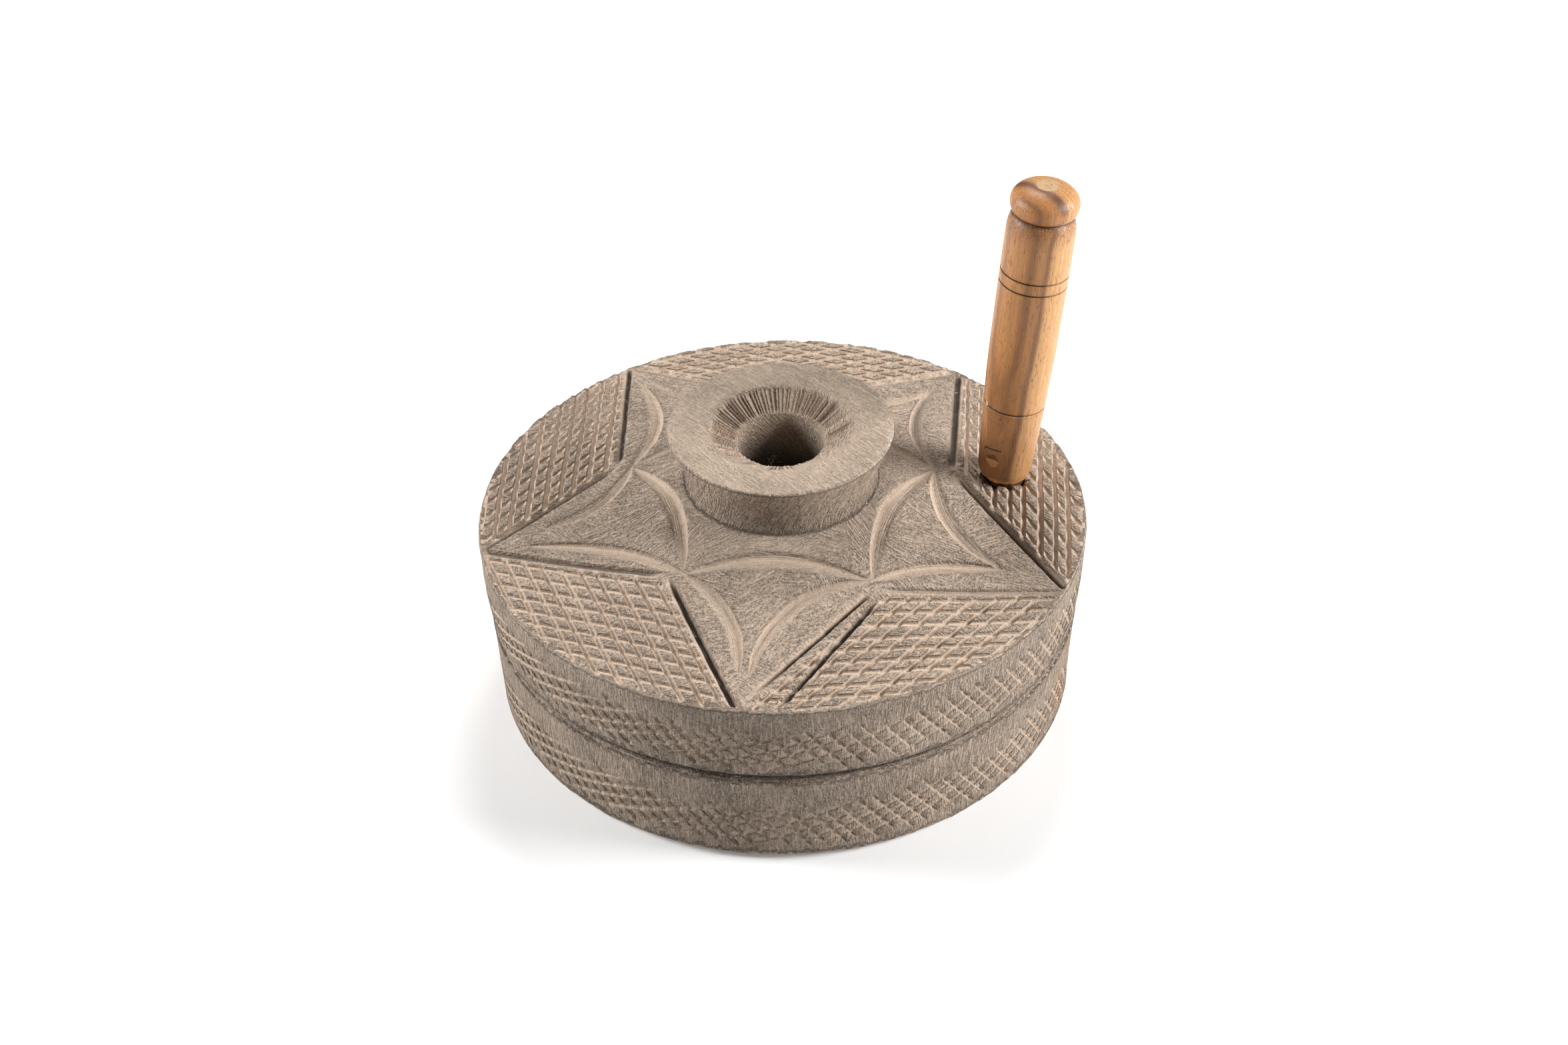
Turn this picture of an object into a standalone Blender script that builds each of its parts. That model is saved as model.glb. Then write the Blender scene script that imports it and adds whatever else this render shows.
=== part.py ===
"""A hand quern: a carved runner stone with a turned wooden handle, turning on a bedstone.

Metres, +Z up. The origin is the centre of the bedstone's underside, and the runner turns about +Z.
"""

import bpy
import bmesh
from math import cos, floor, pi, radians, sin, sqrt, tan
from mathutils import Matrix, Vector
from mathutils.geometry import delaunay_2d_cdt

# The two stones
STONE_RADIUS = 0.160
RUNNER_RIM_HEIGHT = 0.0457
RUNNER_TAPER = 0.0028
RUNNER_TAPER_POWER = 2.5
RIM_CHAMFER = 0.0010
RUNNER_FOOT_ROUND = 0.0015
BED_HEIGHT = 0.0586
BED_RADIUS = 0.1570
BED_FOOT_RADIUS = 0.1545
BED_CHAMFER = 0.0045
BED_FOOT_ROUND = 0.0045
STONE_GAP = 0.0003

# The hub, its funnel and the eye
HUB_FOOT_RADIUS = 0.0506
HUB_FOOT_RISE = 0.0213
DOME_SLOPE_SHARE = 0.33
DOME_POWER = 3.0
HUB_WAIST_RADIUS = 0.0508
HUB_WAIST_RISE = 0.0100
HUB_TOP_RADIUS = 0.0587
HUB_TOP_ROUND = 0.0012
HUB_RISE = 0.0533
FUNNEL_RADIUS = 0.0364
FUNNEL_DEPTH = 0.0086
EYE_RADIUS = 0.0230
FLUTE_DEPTH = 0.0009

# The star: its tips and its notches as an angle in degrees and a share of the stone's radius
STAR_TIPS = ((-98.7, 0.97), (-27.1, 0.985), (50.5, 0.975), (122.3, 0.975), (190.9, 0.975))
STAR_NOTCHES = ((-59.8, 0.567), (12.3, 0.578), (86.0, 0.572), (160.4, 0.573), (227.9, 0.542))
STAR_GROOVE_WIDTH = 0.0040
STAR_GROOVE_DEPTH = 0.0024

# The three gouged arcs of each arm: how far each bows, as shares of its chord
NODE_SHARE = 0.945
HUB_ARC_BOW = 0.105
SIDE_ARC_BOW = 0.155
ARC_END_SHARE = 0.90
ARC_END_SPREAD = 0.09
ARC_WIDTH = 0.0085
ARC_CRISP_SHARE = 0.22
ARC_DEPTH = 0.0013
ARC_PARTS = 6

# The crossed strokes between the arms
HATCH_PITCH = 0.0082
HATCH_DEPTH = 0.0014
HATCH_RIM_MARGIN = 0.0030
HATCH_END_MARGIN = 0.0048

# The crossed strokes round both walls: long slants rise to the right, short ones fall steeply
LONG_STROKES = 50
STEEP_STROKES = 108
LONG_SLOPE = radians(20.0)
STEEP_SLOPE = radians(53.0)
WALL_HATCH_DEPTH = 0.0011
BAND_FADE = 0.0020
BAND_END_MARGIN = 0.0018
RUNNER_BAND_LOW = 0.0050
RUNNER_BAND_HEIGHT = 0.0250
BED_BAND_LOW = 0.0075
BED_BAND_HEIGHT = 0.0300

# The handle and its socket near the rim
SOCKET_INSET = 0.0397
HANDLE_ANGLE = radians(10.5)
HANDLE_LEAN = radians(5.3)
SOCKET_RADIUS = 0.0118
SOCKET_DEPTH = 0.0280
SOCKET_CLEARANCE = 0.0005
HANDLE_LENGTH = 0.1755
HANDLE_FOOT_RADIUS = 0.0140
HANDLE_BELLY_RADIUS = 0.0178
HANDLE_BELLY_HEIGHT = 0.1150
WHITTLED_HEIGHT = 0.0080
PEG_CHAMFER = 0.0012
PEG_STAND_OUT = 0.0015
KNOB_HEIGHT = 0.0150
KNOB_WAIST_HEIGHT = 0.0060
KNOB_RADIUS = 0.0178
KNOB_FLAT_RADIUS = 0.0056
NECK_RADIUS = 0.0143
SHOULDER_HEIGHT = 0.0100
SCRIBED_HEIGHTS = (0.0481, 0.1215, 0.1280)
SCRIBED_WIDTH = 0.0014
SCRIBED_DEPTH = 0.0005

# How finely round things are divided
SIDES = 84
SOCKET_SIDES = 16
HANDLE_SIDES = 20
CURVE_PARTS = 3
MERGE_DISTANCE = 0.00002
PLAN_TOLERANCE = 0.000002
FIELD_TOLERANCE = 0.01
SMOOTH_ANGLE = radians(32.0)


def polar(radius, angle):
    """The flat point at a radius and an angle."""
    return Vector((radius * cos(angle), radius * sin(angle)))


class Plan:
    """Points and lines of a flat drawing that is cut into triangles in one go."""

    def __init__(self):
        self.points = []
        self.lines = []

    def point(self, place):
        """Adds one point and returns its number."""
        self.points.append(Vector(place))
        return len(self.points) - 1

    def chain(self, places, closed=False):
        """Adds points joined by a line from each to the next."""
        numbers = [self.point(place) for place in places]
        self.lines += list(zip(numbers, numbers[1:]))
        if closed:
            self.lines.append((numbers[-1], numbers[0]))
        return numbers

    def triangles(self):
        """The plan's final points and its triangles."""
        points, _, faces, _, _, _ = delaunay_2d_cdt(self.points, self.lines, [], 0, PLAN_TOLERANCE, True)
        return points, faces


def add_triangles(bm, points, faces, place_at, keep):
    """Adds a plan's triangles to a mesh, each point moved to its place in space."""
    corners = {}
    for face in faces:
        middle = sum((points[number] for number in face), Vector((0.0, 0.0))) / len(face)
        if not keep(middle):
            continue
        for number in face:
            if number not in corners:
                corners[number] = bm.verts.new(place_at(points[number]))
        bm.faces.new([corners[number] for number in face])


def ring(bm, radius_at, height_at):
    """A ring of points round the axis, whose radius and height may change from point to point."""
    corners = []
    for number in range(SIDES):
        flat = polar(radius_at(number), 2.0 * pi * number / SIDES)
        corners.append(bm.verts.new((flat.x, flat.y, height_at(number))))
    return corners


def plain_ring(bm, radius, height):
    """A ring with one radius and one height."""
    return ring(bm, lambda number: radius, lambda number: height)


def bridge(bm, first, second):
    """Joins two rings of as many points with quads."""
    for number in range(len(first)):
        following = (number + 1) % len(first)
        bm.faces.new((first[number], first[following], second[following], second[number]))


def bridge_all(bm, rings):
    """Joins rings one after another."""
    for first, second in zip(rings, rings[1:]):
        bridge(bm, first, second)


def weld(bm):
    """Merges points that coincide and turns every face outwards."""
    bmesh.ops.remove_doubles(bm, verts=bm.verts, dist=MERGE_DISTANCE)
    bmesh.ops.recalc_face_normals(bm, faces=bm.faces)


def make_object(name, bm, material, parent=None):
    """Turns a mesh under construction into a named object with its material."""
    mesh = bpy.data.meshes.new(name)
    bm.to_mesh(mesh)
    bm.free()
    mesh.materials.append(material)
    mesh.shade_smooth()
    mesh.set_sharp_from_angle(angle=SMOOTH_ANGLE)
    obj = bpy.data.objects.new(name, mesh)
    bpy.context.scene.collection.objects.link(obj)
    obj.parent = parent
    return obj


def make_material(name, colour, roughness):
    """A plain material: a colour and a roughness."""
    material = bpy.data.materials.new(name)
    material.use_nodes = True
    shader = material.node_tree.nodes["Principled BSDF"]
    shader.inputs["Base Color"].default_value = (*colour, 1.0)
    shader.inputs["Roughness"].default_value = roughness
    shader.inputs["Metallic"].default_value = 0.0
    return material


# The hatched walls


class WallHatch:
    """The crossed strokes of a wall, on the wall unrolled flat: x runs round it and y is height."""

    def __init__(self, low, height):
        self.middle = low + height / 2.0
        self.half = height / 2.0
        self.long_step = 2.0 * pi * STONE_RADIUS / LONG_STROKES
        self.steep_step = 2.0 * pi * STONE_RADIUS / STEEP_STROKES

    def place(self, long_number, steep_number):
        """Where a long stroke crosses a steep one."""
        rise, fall = tan(LONG_SLOPE), tan(STEEP_SLOPE)
        along_long = long_number * self.long_step
        along_steep = steep_number * self.steep_step
        x = (rise * along_long + fall * along_steep) / (rise + fall)
        y = rise * fall * (along_steep - along_long) / (rise + fall)
        return Vector((x, self.middle + y))

    def numbers(self, place):
        """The long and the steep stroke, with fractions, that run through a place."""
        up = place.y - self.middle
        long_number = (place.x - up / tan(LONG_SLOPE)) / self.long_step
        steep_number = (place.x + up / tan(STEEP_SLOPE)) / self.steep_step
        return long_number, steep_number

    def inside(self, place, margin):
        """Whether a place is in the band, a margin away from its edges."""
        return abs(place.y - self.middle) < self.half - margin

    def depth(self, place):
        """How deep the strokes cut at a place."""
        gaps = [2.0 * abs(number - floor(number + 0.5)) for number in self.numbers(place)]
        fade = min(1.0, max(0.0, (self.half - abs(place.y - self.middle)) / BAND_FADE))
        return WALL_HATCH_DEPTH * (1.0 - min(gaps)) * fade


def carved_wall(bm, top, bottom, radius_at, hatch):
    """A stone's wall, triangulated flat with the crossings of its strokes and then rolled up."""
    length = 2.0 * pi * STONE_RADIUS
    spare = 3.0 * hatch.long_step
    plan = Plan()
    step = length / SIDES
    extra = int(spare / step)
    for height in (top, hatch.middle + hatch.half, hatch.middle - hatch.half, bottom):
        plan.chain([(number * step, height) for number in range(-extra, SIDES + extra + 1)])
    crossings = {}
    reach = int(LONG_STROKES + spare / hatch.long_step + 8)
    for long_number in range(-reach // 4, reach):
        for steep_number in range(-STEEP_STROKES // 4, STEEP_STROKES + STEEP_STROKES // 4):
            for half in (0.0, 0.5):
                place = hatch.place(long_number + half, steep_number + half)
                in_reach = -spare < place.x < length + spare
                if in_reach and hatch.inside(place, BAND_END_MARGIN):
                    crossings[(long_number + half, steep_number + half)] = plan.point(place)
    for (long_number, steep_number), number in crossings.items():
        if long_number != int(long_number):
            continue
        for following in ((long_number + 1, steep_number), (long_number, steep_number + 1)):
            if following in crossings:
                plan.lines.append((number, crossings[following]))

    def rolled_up(point):
        radius = radius_at(point.y) - hatch.depth(point)
        flat = polar(radius, point.x / STONE_RADIUS)
        return flat.x, flat.y, point.y

    def once_round(middle):
        return -MERGE_DISTANCE <= middle.x < length - MERGE_DISTANCE

    points, faces = plan.triangles()
    add_triangles(bm, points, faces, rolled_up, once_round)


# The carved top of the runner


def dome(radius):
    """How far the runner's top has risen above its rim at a radius."""
    rim = STONE_RADIUS - RIM_CHAMFER
    share = (rim - radius) / (rim - HUB_FOOT_RADIUS)
    return HUB_FOOT_RISE * (DOME_SLOPE_SHARE * share + (1.0 - DOME_SLOPE_SHARE) * share ** DOME_POWER)


def star_point(entry):
    """A tip or a notch of the star as a flat point."""
    angle, share = entry
    return polar(share * STONE_RADIUS, radians(angle))


class Groove:
    """A straight groove of the star, from a notch to a tip."""

    def __init__(self, start, end):
        self.start = start
        self.along = (end - start).normalized()
        self.length = (end - start).length
        self.across = Vector((-self.along.y, self.along.x))

    def depth(self, place):
        """How deep the groove cuts at a place."""
        way = min(max((place - self.start).dot(self.along), 0.0), self.length)
        distance = (place - self.start - self.along * way).length
        fade = min(1.0, (self.length - way) / STAR_GROOVE_WIDTH)
        return STAR_GROOVE_DEPTH * fade * max(0.0, 1.0 - 2.0 * distance / STAR_GROOVE_WIDTH)

    def draw(self, plan):
        """Adds the groove's bottom and its two edges to a plan."""
        end = self.start + self.along * self.length
        side = self.across * STAR_GROOVE_WIDTH / 2.0
        short = end - self.along * STAR_GROOVE_WIDTH
        plan.chain((self.start, short, end))
        plan.chain((self.start + side, short + side, end))
        plan.chain((self.start - side, short - side, end))


class GougedArc:
    """A wide gouge along an arc: steep on its outer side, fading out on the inner side."""

    def __init__(self, start, end, bow_towards, bow_share):
        chord = end - start
        middle = (start + end) / 2.0
        normal = Vector((-chord.y, chord.x)).normalized()
        if normal.dot(bow_towards - middle) < 0.0:
            normal = -normal
        bow = bow_share * chord.length
        self.radius = (chord.length ** 2 / 4.0 + bow ** 2) / (2.0 * bow)
        self.centre = middle + normal * (bow - self.radius)
        self.first = start - self.centre
        self.sweep = self.first.angle_signed(end - self.centre)

    def at(self, share, inwards):
        """The point at a share of the arc, moved inwards from its outer edge."""
        turned = self.first.copy()
        turned.rotate(Matrix.Rotation(-share * self.sweep, 2))
        return self.centre + turned * (1.0 - inwards / self.radius)

    def width(self, share):
        """The gouge's width at a share of the arc."""
        return ARC_WIDTH * sqrt(max(0.0, sin(pi * share)))

    def depth(self, place):
        """How deep the gouge cuts at a place."""
        from_centre = place - self.centre
        inwards = self.radius - from_centre.length
        if not 0.0 < inwards < ARC_WIDTH:
            return 0.0
        share = self.first.angle_signed(from_centre) / self.sweep
        if not 0.0 < share < 1.0:
            return 0.0
        across = inwards / self.width(share)
        if across < ARC_CRISP_SHARE:
            fraction = across / ARC_CRISP_SHARE
        else:
            fraction = max(0.0, (1.0 - across) / (1.0 - ARC_CRISP_SHARE))
        return ARC_DEPTH * fraction * self.width(share) / ARC_WIDTH

    def draw(self, plan):
        """Adds the gouge's outer edge, its bottom and its inner edge to a plan."""
        shares = [number / ARC_PARTS for number in range(1, ARC_PARTS)]
        for across in (0.0, ARC_CRISP_SHARE, 1.0):
            inner = [self.at(share, across * self.width(share)) for share in shares]
            plan.chain([self.at(0.0, 0.0), *inner, self.at(1.0, 0.0)])


class HatchedField:
    """The strokes between two arms of the star, parallel to the two edges that meet in a notch."""

    def __init__(self, notch, first_tip, second_tip):
        first = (first_tip - notch).normalized()
        second = (second_tip - notch).normalized()
        turn = first.angle_signed(second)
        spread = abs(sin(turn))
        self.step = HATCH_PITCH / spread
        self.first = first
        self.second = second
        self.corner = notch + (first + second) * STAR_GROOVE_WIDTH / 2.0 / spread

    def place(self, first_number, second_number):
        """The point a number of strokes along each of the two edges."""
        return self.corner + (self.first * first_number + self.second * second_number) * self.step

    def numbers(self, place):
        """How many strokes along each of the two edges a point lies."""
        offset = (place - self.corner) / self.step
        area = self.first.cross(self.second)
        return offset.cross(self.second) / area, self.first.cross(offset) / area

    def depth(self, place):
        """How deep the strokes cut at a place."""
        numbers = self.numbers(place)
        if min(numbers) < -FIELD_TOLERANCE:
            return 0.0
        gaps = [2.0 * abs(number - floor(number + 0.5)) for number in numbers]
        fade = (STONE_RADIUS - HATCH_RIM_MARGIN - place.length) / HATCH_RIM_MARGIN
        return HATCH_DEPTH * (1.0 - min(gaps)) * min(1.0, max(0.0, fade))

    def draw(self, plan, keep_clear):
        """Adds the crossings of the strokes and the middles between them to a plan."""
        count = int(2.0 * STONE_RADIUS / self.step)
        reach = STONE_RADIUS - HATCH_END_MARGIN
        crossings = {}
        for first_number in range(count):
            for second_number in range(count):
                for half in (0.0, 0.5):
                    numbers = (first_number + half, second_number + half)
                    place = self.place(*numbers)
                    if place.length < reach and not keep_clear(place):
                        crossings[numbers] = plan.point(place)
        for (first_number, second_number), number in crossings.items():
            if first_number != int(first_number):
                continue
            for following in ((first_number + 1, second_number), (first_number, second_number + 1)):
                if following in crossings:
                    plan.lines.append((number, crossings[following]))


def star_carving():
    """The star's grooves, the arcs in its arms and the hatched fields between them."""
    tips = [star_point(entry) for entry in STAR_TIPS]
    notches = [star_point(entry) for entry in STAR_NOTCHES]
    nodes = [notch * NODE_SHARE for notch in notches]
    grooves, arcs, fields = [], [], []
    for number, notch in enumerate(notches):
        tip, next_tip = tips[number], tips[(number + 1) % len(tips)]
        grooves += [Groove(notch, tip), Groove(notch, next_tip)]
        fields.append(HatchedField(notch, tip, next_tip))
        before, after = nodes[number - 1], nodes[number]
        arcs.append(GougedArc(before, after, Vector((0.0, 0.0)), HUB_ARC_BOW))
        for node in (before, after):
            end = (tip * ARC_END_SHARE).lerp(node, ARC_END_SPREAD)
            arcs.append(GougedArc(node, end, (before + after + tip) / 3.0, SIDE_ARC_BOW))
    return grooves, arcs, fields


def runner_top(bm, socket_centre):
    """The domed top between the rim and the hub's foot, with the carving and the socket's mouth."""
    grooves, arcs, fields = star_carving()
    rim = STONE_RADIUS - RIM_CHAMFER
    plan = Plan()
    plan.chain([polar(rim, 2.0 * pi * number / SIDES) for number in range(SIDES)], closed=True)
    plan.chain([polar(HUB_FOOT_RADIUS, 2.0 * pi * number / SIDES) for number in range(SIDES)], closed=True)
    turns = [2.0 * pi * number / SOCKET_SIDES for number in range(SOCKET_SIDES)]
    mouth = [socket_centre + polar(SOCKET_RADIUS, turn) for turn in turns]
    plan.chain(mouth, closed=True)

    def by_the_socket(place):
        return (place - socket_centre).length < SOCKET_RADIUS + HATCH_PITCH / 4.0

    for part in grooves + arcs:
        part.draw(plan)
    for field in fields:
        field.draw(plan, by_the_socket)

    def lifted(point):
        distance = point.length
        depth = 0.0
        by_an_edge = distance > rim - RIM_CHAMFER or distance < HUB_FOOT_RADIUS + RIM_CHAMFER
        on_the_mouth = (point - socket_centre).length < SOCKET_RADIUS + MERGE_DISTANCE
        if not by_an_edge and not on_the_mouth:
            depth = max(part.depth(point) for part in grooves + arcs + fields)
        return point.x, point.y, RUNNER_RIM_HEIGHT + dome(distance) - depth

    def keep(middle):
        on_the_stone = middle.length > HUB_FOOT_RADIUS * cos(pi / SIDES)
        return on_the_stone and (middle - socket_centre).length > SOCKET_RADIUS * cos(pi / SOCKET_SIDES)

    points, faces = plan.triangles()
    add_triangles(bm, points, faces, lifted, keep)
    return [lifted(corner) for corner in mouth]


def socket_axis():
    """The handle's direction: leaning outwards, away from the quern's axis."""
    outwards = polar(sin(HANDLE_LEAN), HANDLE_ANGLE)
    return Vector((outwards.x, outwards.y, cos(HANDLE_LEAN)))


def socket_wall(bm, mouth):
    """The blind socket for the handle's peg, down from the mouth's points."""
    down = socket_axis() * -SOCKET_DEPTH
    upper = [bm.verts.new(corner) for corner in mouth]
    lower = [bm.verts.new(Vector(corner) + down) for corner in mouth]
    bridge(bm, upper, lower)
    bm.faces.new(lower)


def hub_and_eye(bm):
    """The hub's side and top, the fluted funnel and the eye, down to the runner's underside."""
    foot = RUNNER_RIM_HEIGHT + HUB_FOOT_RISE
    top = RUNNER_RIM_HEIGHT + HUB_RISE

    def scalloped(radius):
        return lambda number: radius + FLUTE_DEPTH * (number % 2)

    rings = [
        plain_ring(bm, HUB_FOOT_RADIUS, foot),
        plain_ring(bm, HUB_WAIST_RADIUS, foot + HUB_WAIST_RISE),
        plain_ring(bm, HUB_TOP_RADIUS, top - HUB_TOP_ROUND),
        plain_ring(bm, HUB_TOP_RADIUS - HUB_TOP_ROUND, top),
        ring(bm, scalloped(FUNNEL_RADIUS), lambda number: top),
        ring(bm, scalloped(EYE_RADIUS), lambda number: top - FUNNEL_DEPTH),
        plain_ring(bm, EYE_RADIUS, top - FUNNEL_DEPTH - FLUTE_DEPTH),
        plain_ring(bm, EYE_RADIUS, 0.0),
    ]
    bridge_all(bm, rings)
    return rings[-1]


def runner_radius(height):
    """The runner's radius at a height above its underside."""
    share = 1.0 - height / RUNNER_RIM_HEIGHT
    return STONE_RADIUS - RUNNER_TAPER * share ** RUNNER_TAPER_POWER


def socket_mouth_centre():
    """The middle of the socket's mouth on the runner's top."""
    return polar(STONE_RADIUS - SOCKET_INSET, HANDLE_ANGLE)


def make_runner(material, parent):
    """The upper stone: carved top, hub, funnel, eye, hatched wall and the handle's socket."""
    bm = bmesh.new()
    mouth = runner_top(bm, socket_mouth_centre())
    socket_wall(bm, mouth)
    eye_foot = hub_and_eye(bm)
    wall_top = RUNNER_RIM_HEIGHT - RIM_CHAMFER
    wall_foot = RUNNER_FOOT_ROUND
    bridge_all(bm, [
        plain_ring(bm, STONE_RADIUS - RIM_CHAMFER, RUNNER_RIM_HEIGHT),
        plain_ring(bm, runner_radius(wall_top), wall_top),
    ])
    carved_wall(bm, wall_top, wall_foot, runner_radius, WallHatch(RUNNER_BAND_LOW, RUNNER_BAND_HEIGHT))
    bridge_all(bm, [
        plain_ring(bm, runner_radius(wall_foot), wall_foot),
        plain_ring(bm, runner_radius(wall_foot) - RUNNER_FOOT_ROUND, 0.0),
        eye_foot,
    ])
    weld(bm)
    return make_object("runner_stone", bm, material, parent)


def bed_radius(height):
    """The bedstone's radius at a height above its underside."""
    share = height / (BED_HEIGHT - BED_CHAMFER)
    return BED_FOOT_RADIUS + (BED_RADIUS - BED_FOOT_RADIUS) * share


def make_bedstone(material):
    """The lower stone: a flat disc with a hatched wall and a chamfer under the runner's edge."""
    bm = bmesh.new()
    wall_top = BED_HEIGHT - BED_CHAMFER
    wall_foot = BED_FOOT_ROUND
    rim = plain_ring(bm, BED_RADIUS - BED_CHAMFER, BED_HEIGHT)
    bm.faces.new(rim)
    bridge_all(bm, [rim, plain_ring(bm, bed_radius(wall_top), wall_top)])
    carved_wall(bm, wall_top, wall_foot, bed_radius, WallHatch(BED_BAND_LOW, BED_BAND_HEIGHT))
    foot = plain_ring(bm, bed_radius(wall_foot) - BED_FOOT_ROUND, 0.0)
    bridge_all(bm, [plain_ring(bm, bed_radius(wall_foot), wall_foot), foot])
    bm.faces.new(foot)
    weld(bm)
    return make_object("bedstone", bm, material)


# The handle


def grip_radius(height):
    """The grip's radius at a height above the stone: swelling from the foot to the belly."""
    share = min(1.0, height / HANDLE_BELLY_HEIGHT)
    return HANDLE_FOOT_RADIUS + (HANDLE_BELLY_RADIUS - HANDLE_FOOT_RADIUS) * sin(share * pi / 2.0)


def handle_profile():
    """The turned profile, foot to top, as pairs of radius and height along the handle's axis."""
    peg = SOCKET_RADIUS - SOCKET_CLEARANCE
    peg_end = SOCKET_CLEARANCE - SOCKET_DEPTH
    profile = [(peg - PEG_CHAMFER, peg_end), (peg, peg_end + PEG_CHAMFER), (peg, PEG_STAND_OUT)]
    profile.append((grip_radius(WHITTLED_HEIGHT), WHITTLED_HEIGHT))
    for height in SCRIBED_HEIGHTS:
        radius = grip_radius(height)
        profile.append((radius, height - SCRIBED_WIDTH / 2.0))
        profile.append((radius - SCRIBED_DEPTH, height))
        profile.append((radius, height + SCRIBED_WIDTH / 2.0))
        if height == SCRIBED_HEIGHTS[0]:
            middle = (SCRIBED_HEIGHTS[0] + SCRIBED_HEIGHTS[1]) / 2.0
            profile.append((grip_radius(middle), middle))
    neck = HANDLE_LENGTH - KNOB_HEIGHT
    shoulder = neck - SHOULDER_HEIGHT
    for number in range(CURVE_PARTS + 1):
        turn = pi / 2.0 * number / CURVE_PARTS
        radius = NECK_RADIUS + (grip_radius(shoulder) - NECK_RADIUS) * cos(turn)
        profile.append((radius, shoulder + SHOULDER_HEIGHT * sin(turn)))
    waist = neck + KNOB_WAIST_HEIGHT
    for number in range(1, CURVE_PARTS + 1):
        turn = pi / 2.0 * number / CURVE_PARTS
        radius = NECK_RADIUS + (KNOB_RADIUS - NECK_RADIUS) * sin(turn)
        profile.append((radius, waist - (waist - neck) * cos(turn)))
    for number in range(1, CURVE_PARTS + 1):
        turn = pi / 2.0 * number / CURVE_PARTS
        radius = KNOB_FLAT_RADIUS + (KNOB_RADIUS - KNOB_FLAT_RADIUS) * cos(turn)
        profile.append((radius, waist + (HANDLE_LENGTH - waist) * sin(turn)))
    return profile


def make_handle(material, parent):
    """The turned handle, its peg in the runner's socket, leaning outwards a little."""
    bm = bmesh.new()
    rings = []
    for radius, height in handle_profile():
        corners = [polar(radius, 2.0 * pi * number / HANDLE_SIDES) for number in range(HANDLE_SIDES)]
        rings.append([bm.verts.new((corner.x, corner.y, height)) for corner in corners])
    bridge_all(bm, rings)
    bm.faces.new(rings[0])
    bm.faces.new(rings[-1])
    weld(bm)
    obj = make_object("handle", bm, material, parent)
    foot = socket_mouth_centre()
    obj.location = (foot.x, foot.y, RUNNER_RIM_HEIGHT + dome(foot.length))
    obj.rotation_mode = "QUATERNION"
    obj.rotation_quaternion = Vector((0.0, 0.0, 1.0)).rotation_difference(socket_axis())
    return obj


def main():
    """Clears the scene and builds the two stones and the handle."""
    for obj in list(bpy.data.objects):
        bpy.data.objects.remove(obj, do_unlink=True)
    stone = make_material("grey_brown_stone", (0.27, 0.22, 0.175), 0.9)
    lower_stone = make_material("lower_stone", (0.25, 0.20, 0.16), 0.92)
    wood = make_material("turned_wood", (0.55, 0.31, 0.14), 0.5)
    make_bedstone(lower_stone)
    axis = bpy.data.objects.new("runner_axis", None)
    axis.location = (0.0, 0.0, BED_HEIGHT + STONE_GAP)
    bpy.context.scene.collection.objects.link(axis)
    make_runner(stone, axis)
    make_handle(wood, axis)


main()
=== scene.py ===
"""Looks of a carved hand quern: a runner stone on a bedstone, turned by an upright wooden handle.

Metres, +Z up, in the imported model's frame: the origin is the centre of the bedstone's underside.
"""

import logging
from collections.abc import Callable
from dataclasses import dataclass, field
from enum import Enum
from math import cos, pi, radians, sin, sqrt, tan

import bmesh
import bpy
import numpy as np
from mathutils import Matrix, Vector
from mathutils.geometry import delaunay_2d_cdt
from mathutils.kdtree import KDTree

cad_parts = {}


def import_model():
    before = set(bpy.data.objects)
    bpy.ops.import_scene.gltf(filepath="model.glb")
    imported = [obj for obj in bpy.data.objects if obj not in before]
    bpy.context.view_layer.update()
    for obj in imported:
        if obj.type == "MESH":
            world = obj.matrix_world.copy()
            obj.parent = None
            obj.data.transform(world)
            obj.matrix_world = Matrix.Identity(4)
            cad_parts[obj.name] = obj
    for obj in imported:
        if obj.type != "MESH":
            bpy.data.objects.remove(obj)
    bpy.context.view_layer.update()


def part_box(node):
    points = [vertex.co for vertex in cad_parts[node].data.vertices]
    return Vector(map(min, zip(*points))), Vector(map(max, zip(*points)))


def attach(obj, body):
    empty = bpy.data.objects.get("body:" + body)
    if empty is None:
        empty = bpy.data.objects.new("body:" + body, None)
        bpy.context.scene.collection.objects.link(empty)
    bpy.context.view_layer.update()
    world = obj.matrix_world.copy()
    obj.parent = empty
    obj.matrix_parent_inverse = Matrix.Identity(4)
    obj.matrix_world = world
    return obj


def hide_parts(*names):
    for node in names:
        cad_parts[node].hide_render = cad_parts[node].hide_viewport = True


log = logging.getLogger("quern")

Array = np.ndarray
Socket = bpy.types.NodeSocket
Colour = tuple[float, float, float]
Marks = dict[str, Array]
Pairs = tuple[tuple[float, float], ...]

WELD_DISTANCE = 0.00001
PLAN_TOLERANCE = 0.0000005
MILLIMETRE = 0.001
WHITE = (1.0, 1.0, 1.0, 1.0)


# Small tools for numbers


def polar(radius: float | Array, angle: float | Array) -> Array:
    """The flat point or points at a radius and an angle."""
    return np.stack([radius * np.cos(angle), radius * np.sin(angle)], -1)


def eased(value: Array, low: float, high: float) -> Array:
    """A smooth step from 0 where a value is at low to 1 where it is at high."""
    share = np.clip((value - low) / (high - low), 0.0, 1.0)
    return share * share * (3.0 - 2.0 * share)


def lengths(offsets: Array) -> Array:
    """The length of each row of offsets."""
    return np.linalg.norm(offsets, axis=-1)


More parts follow.
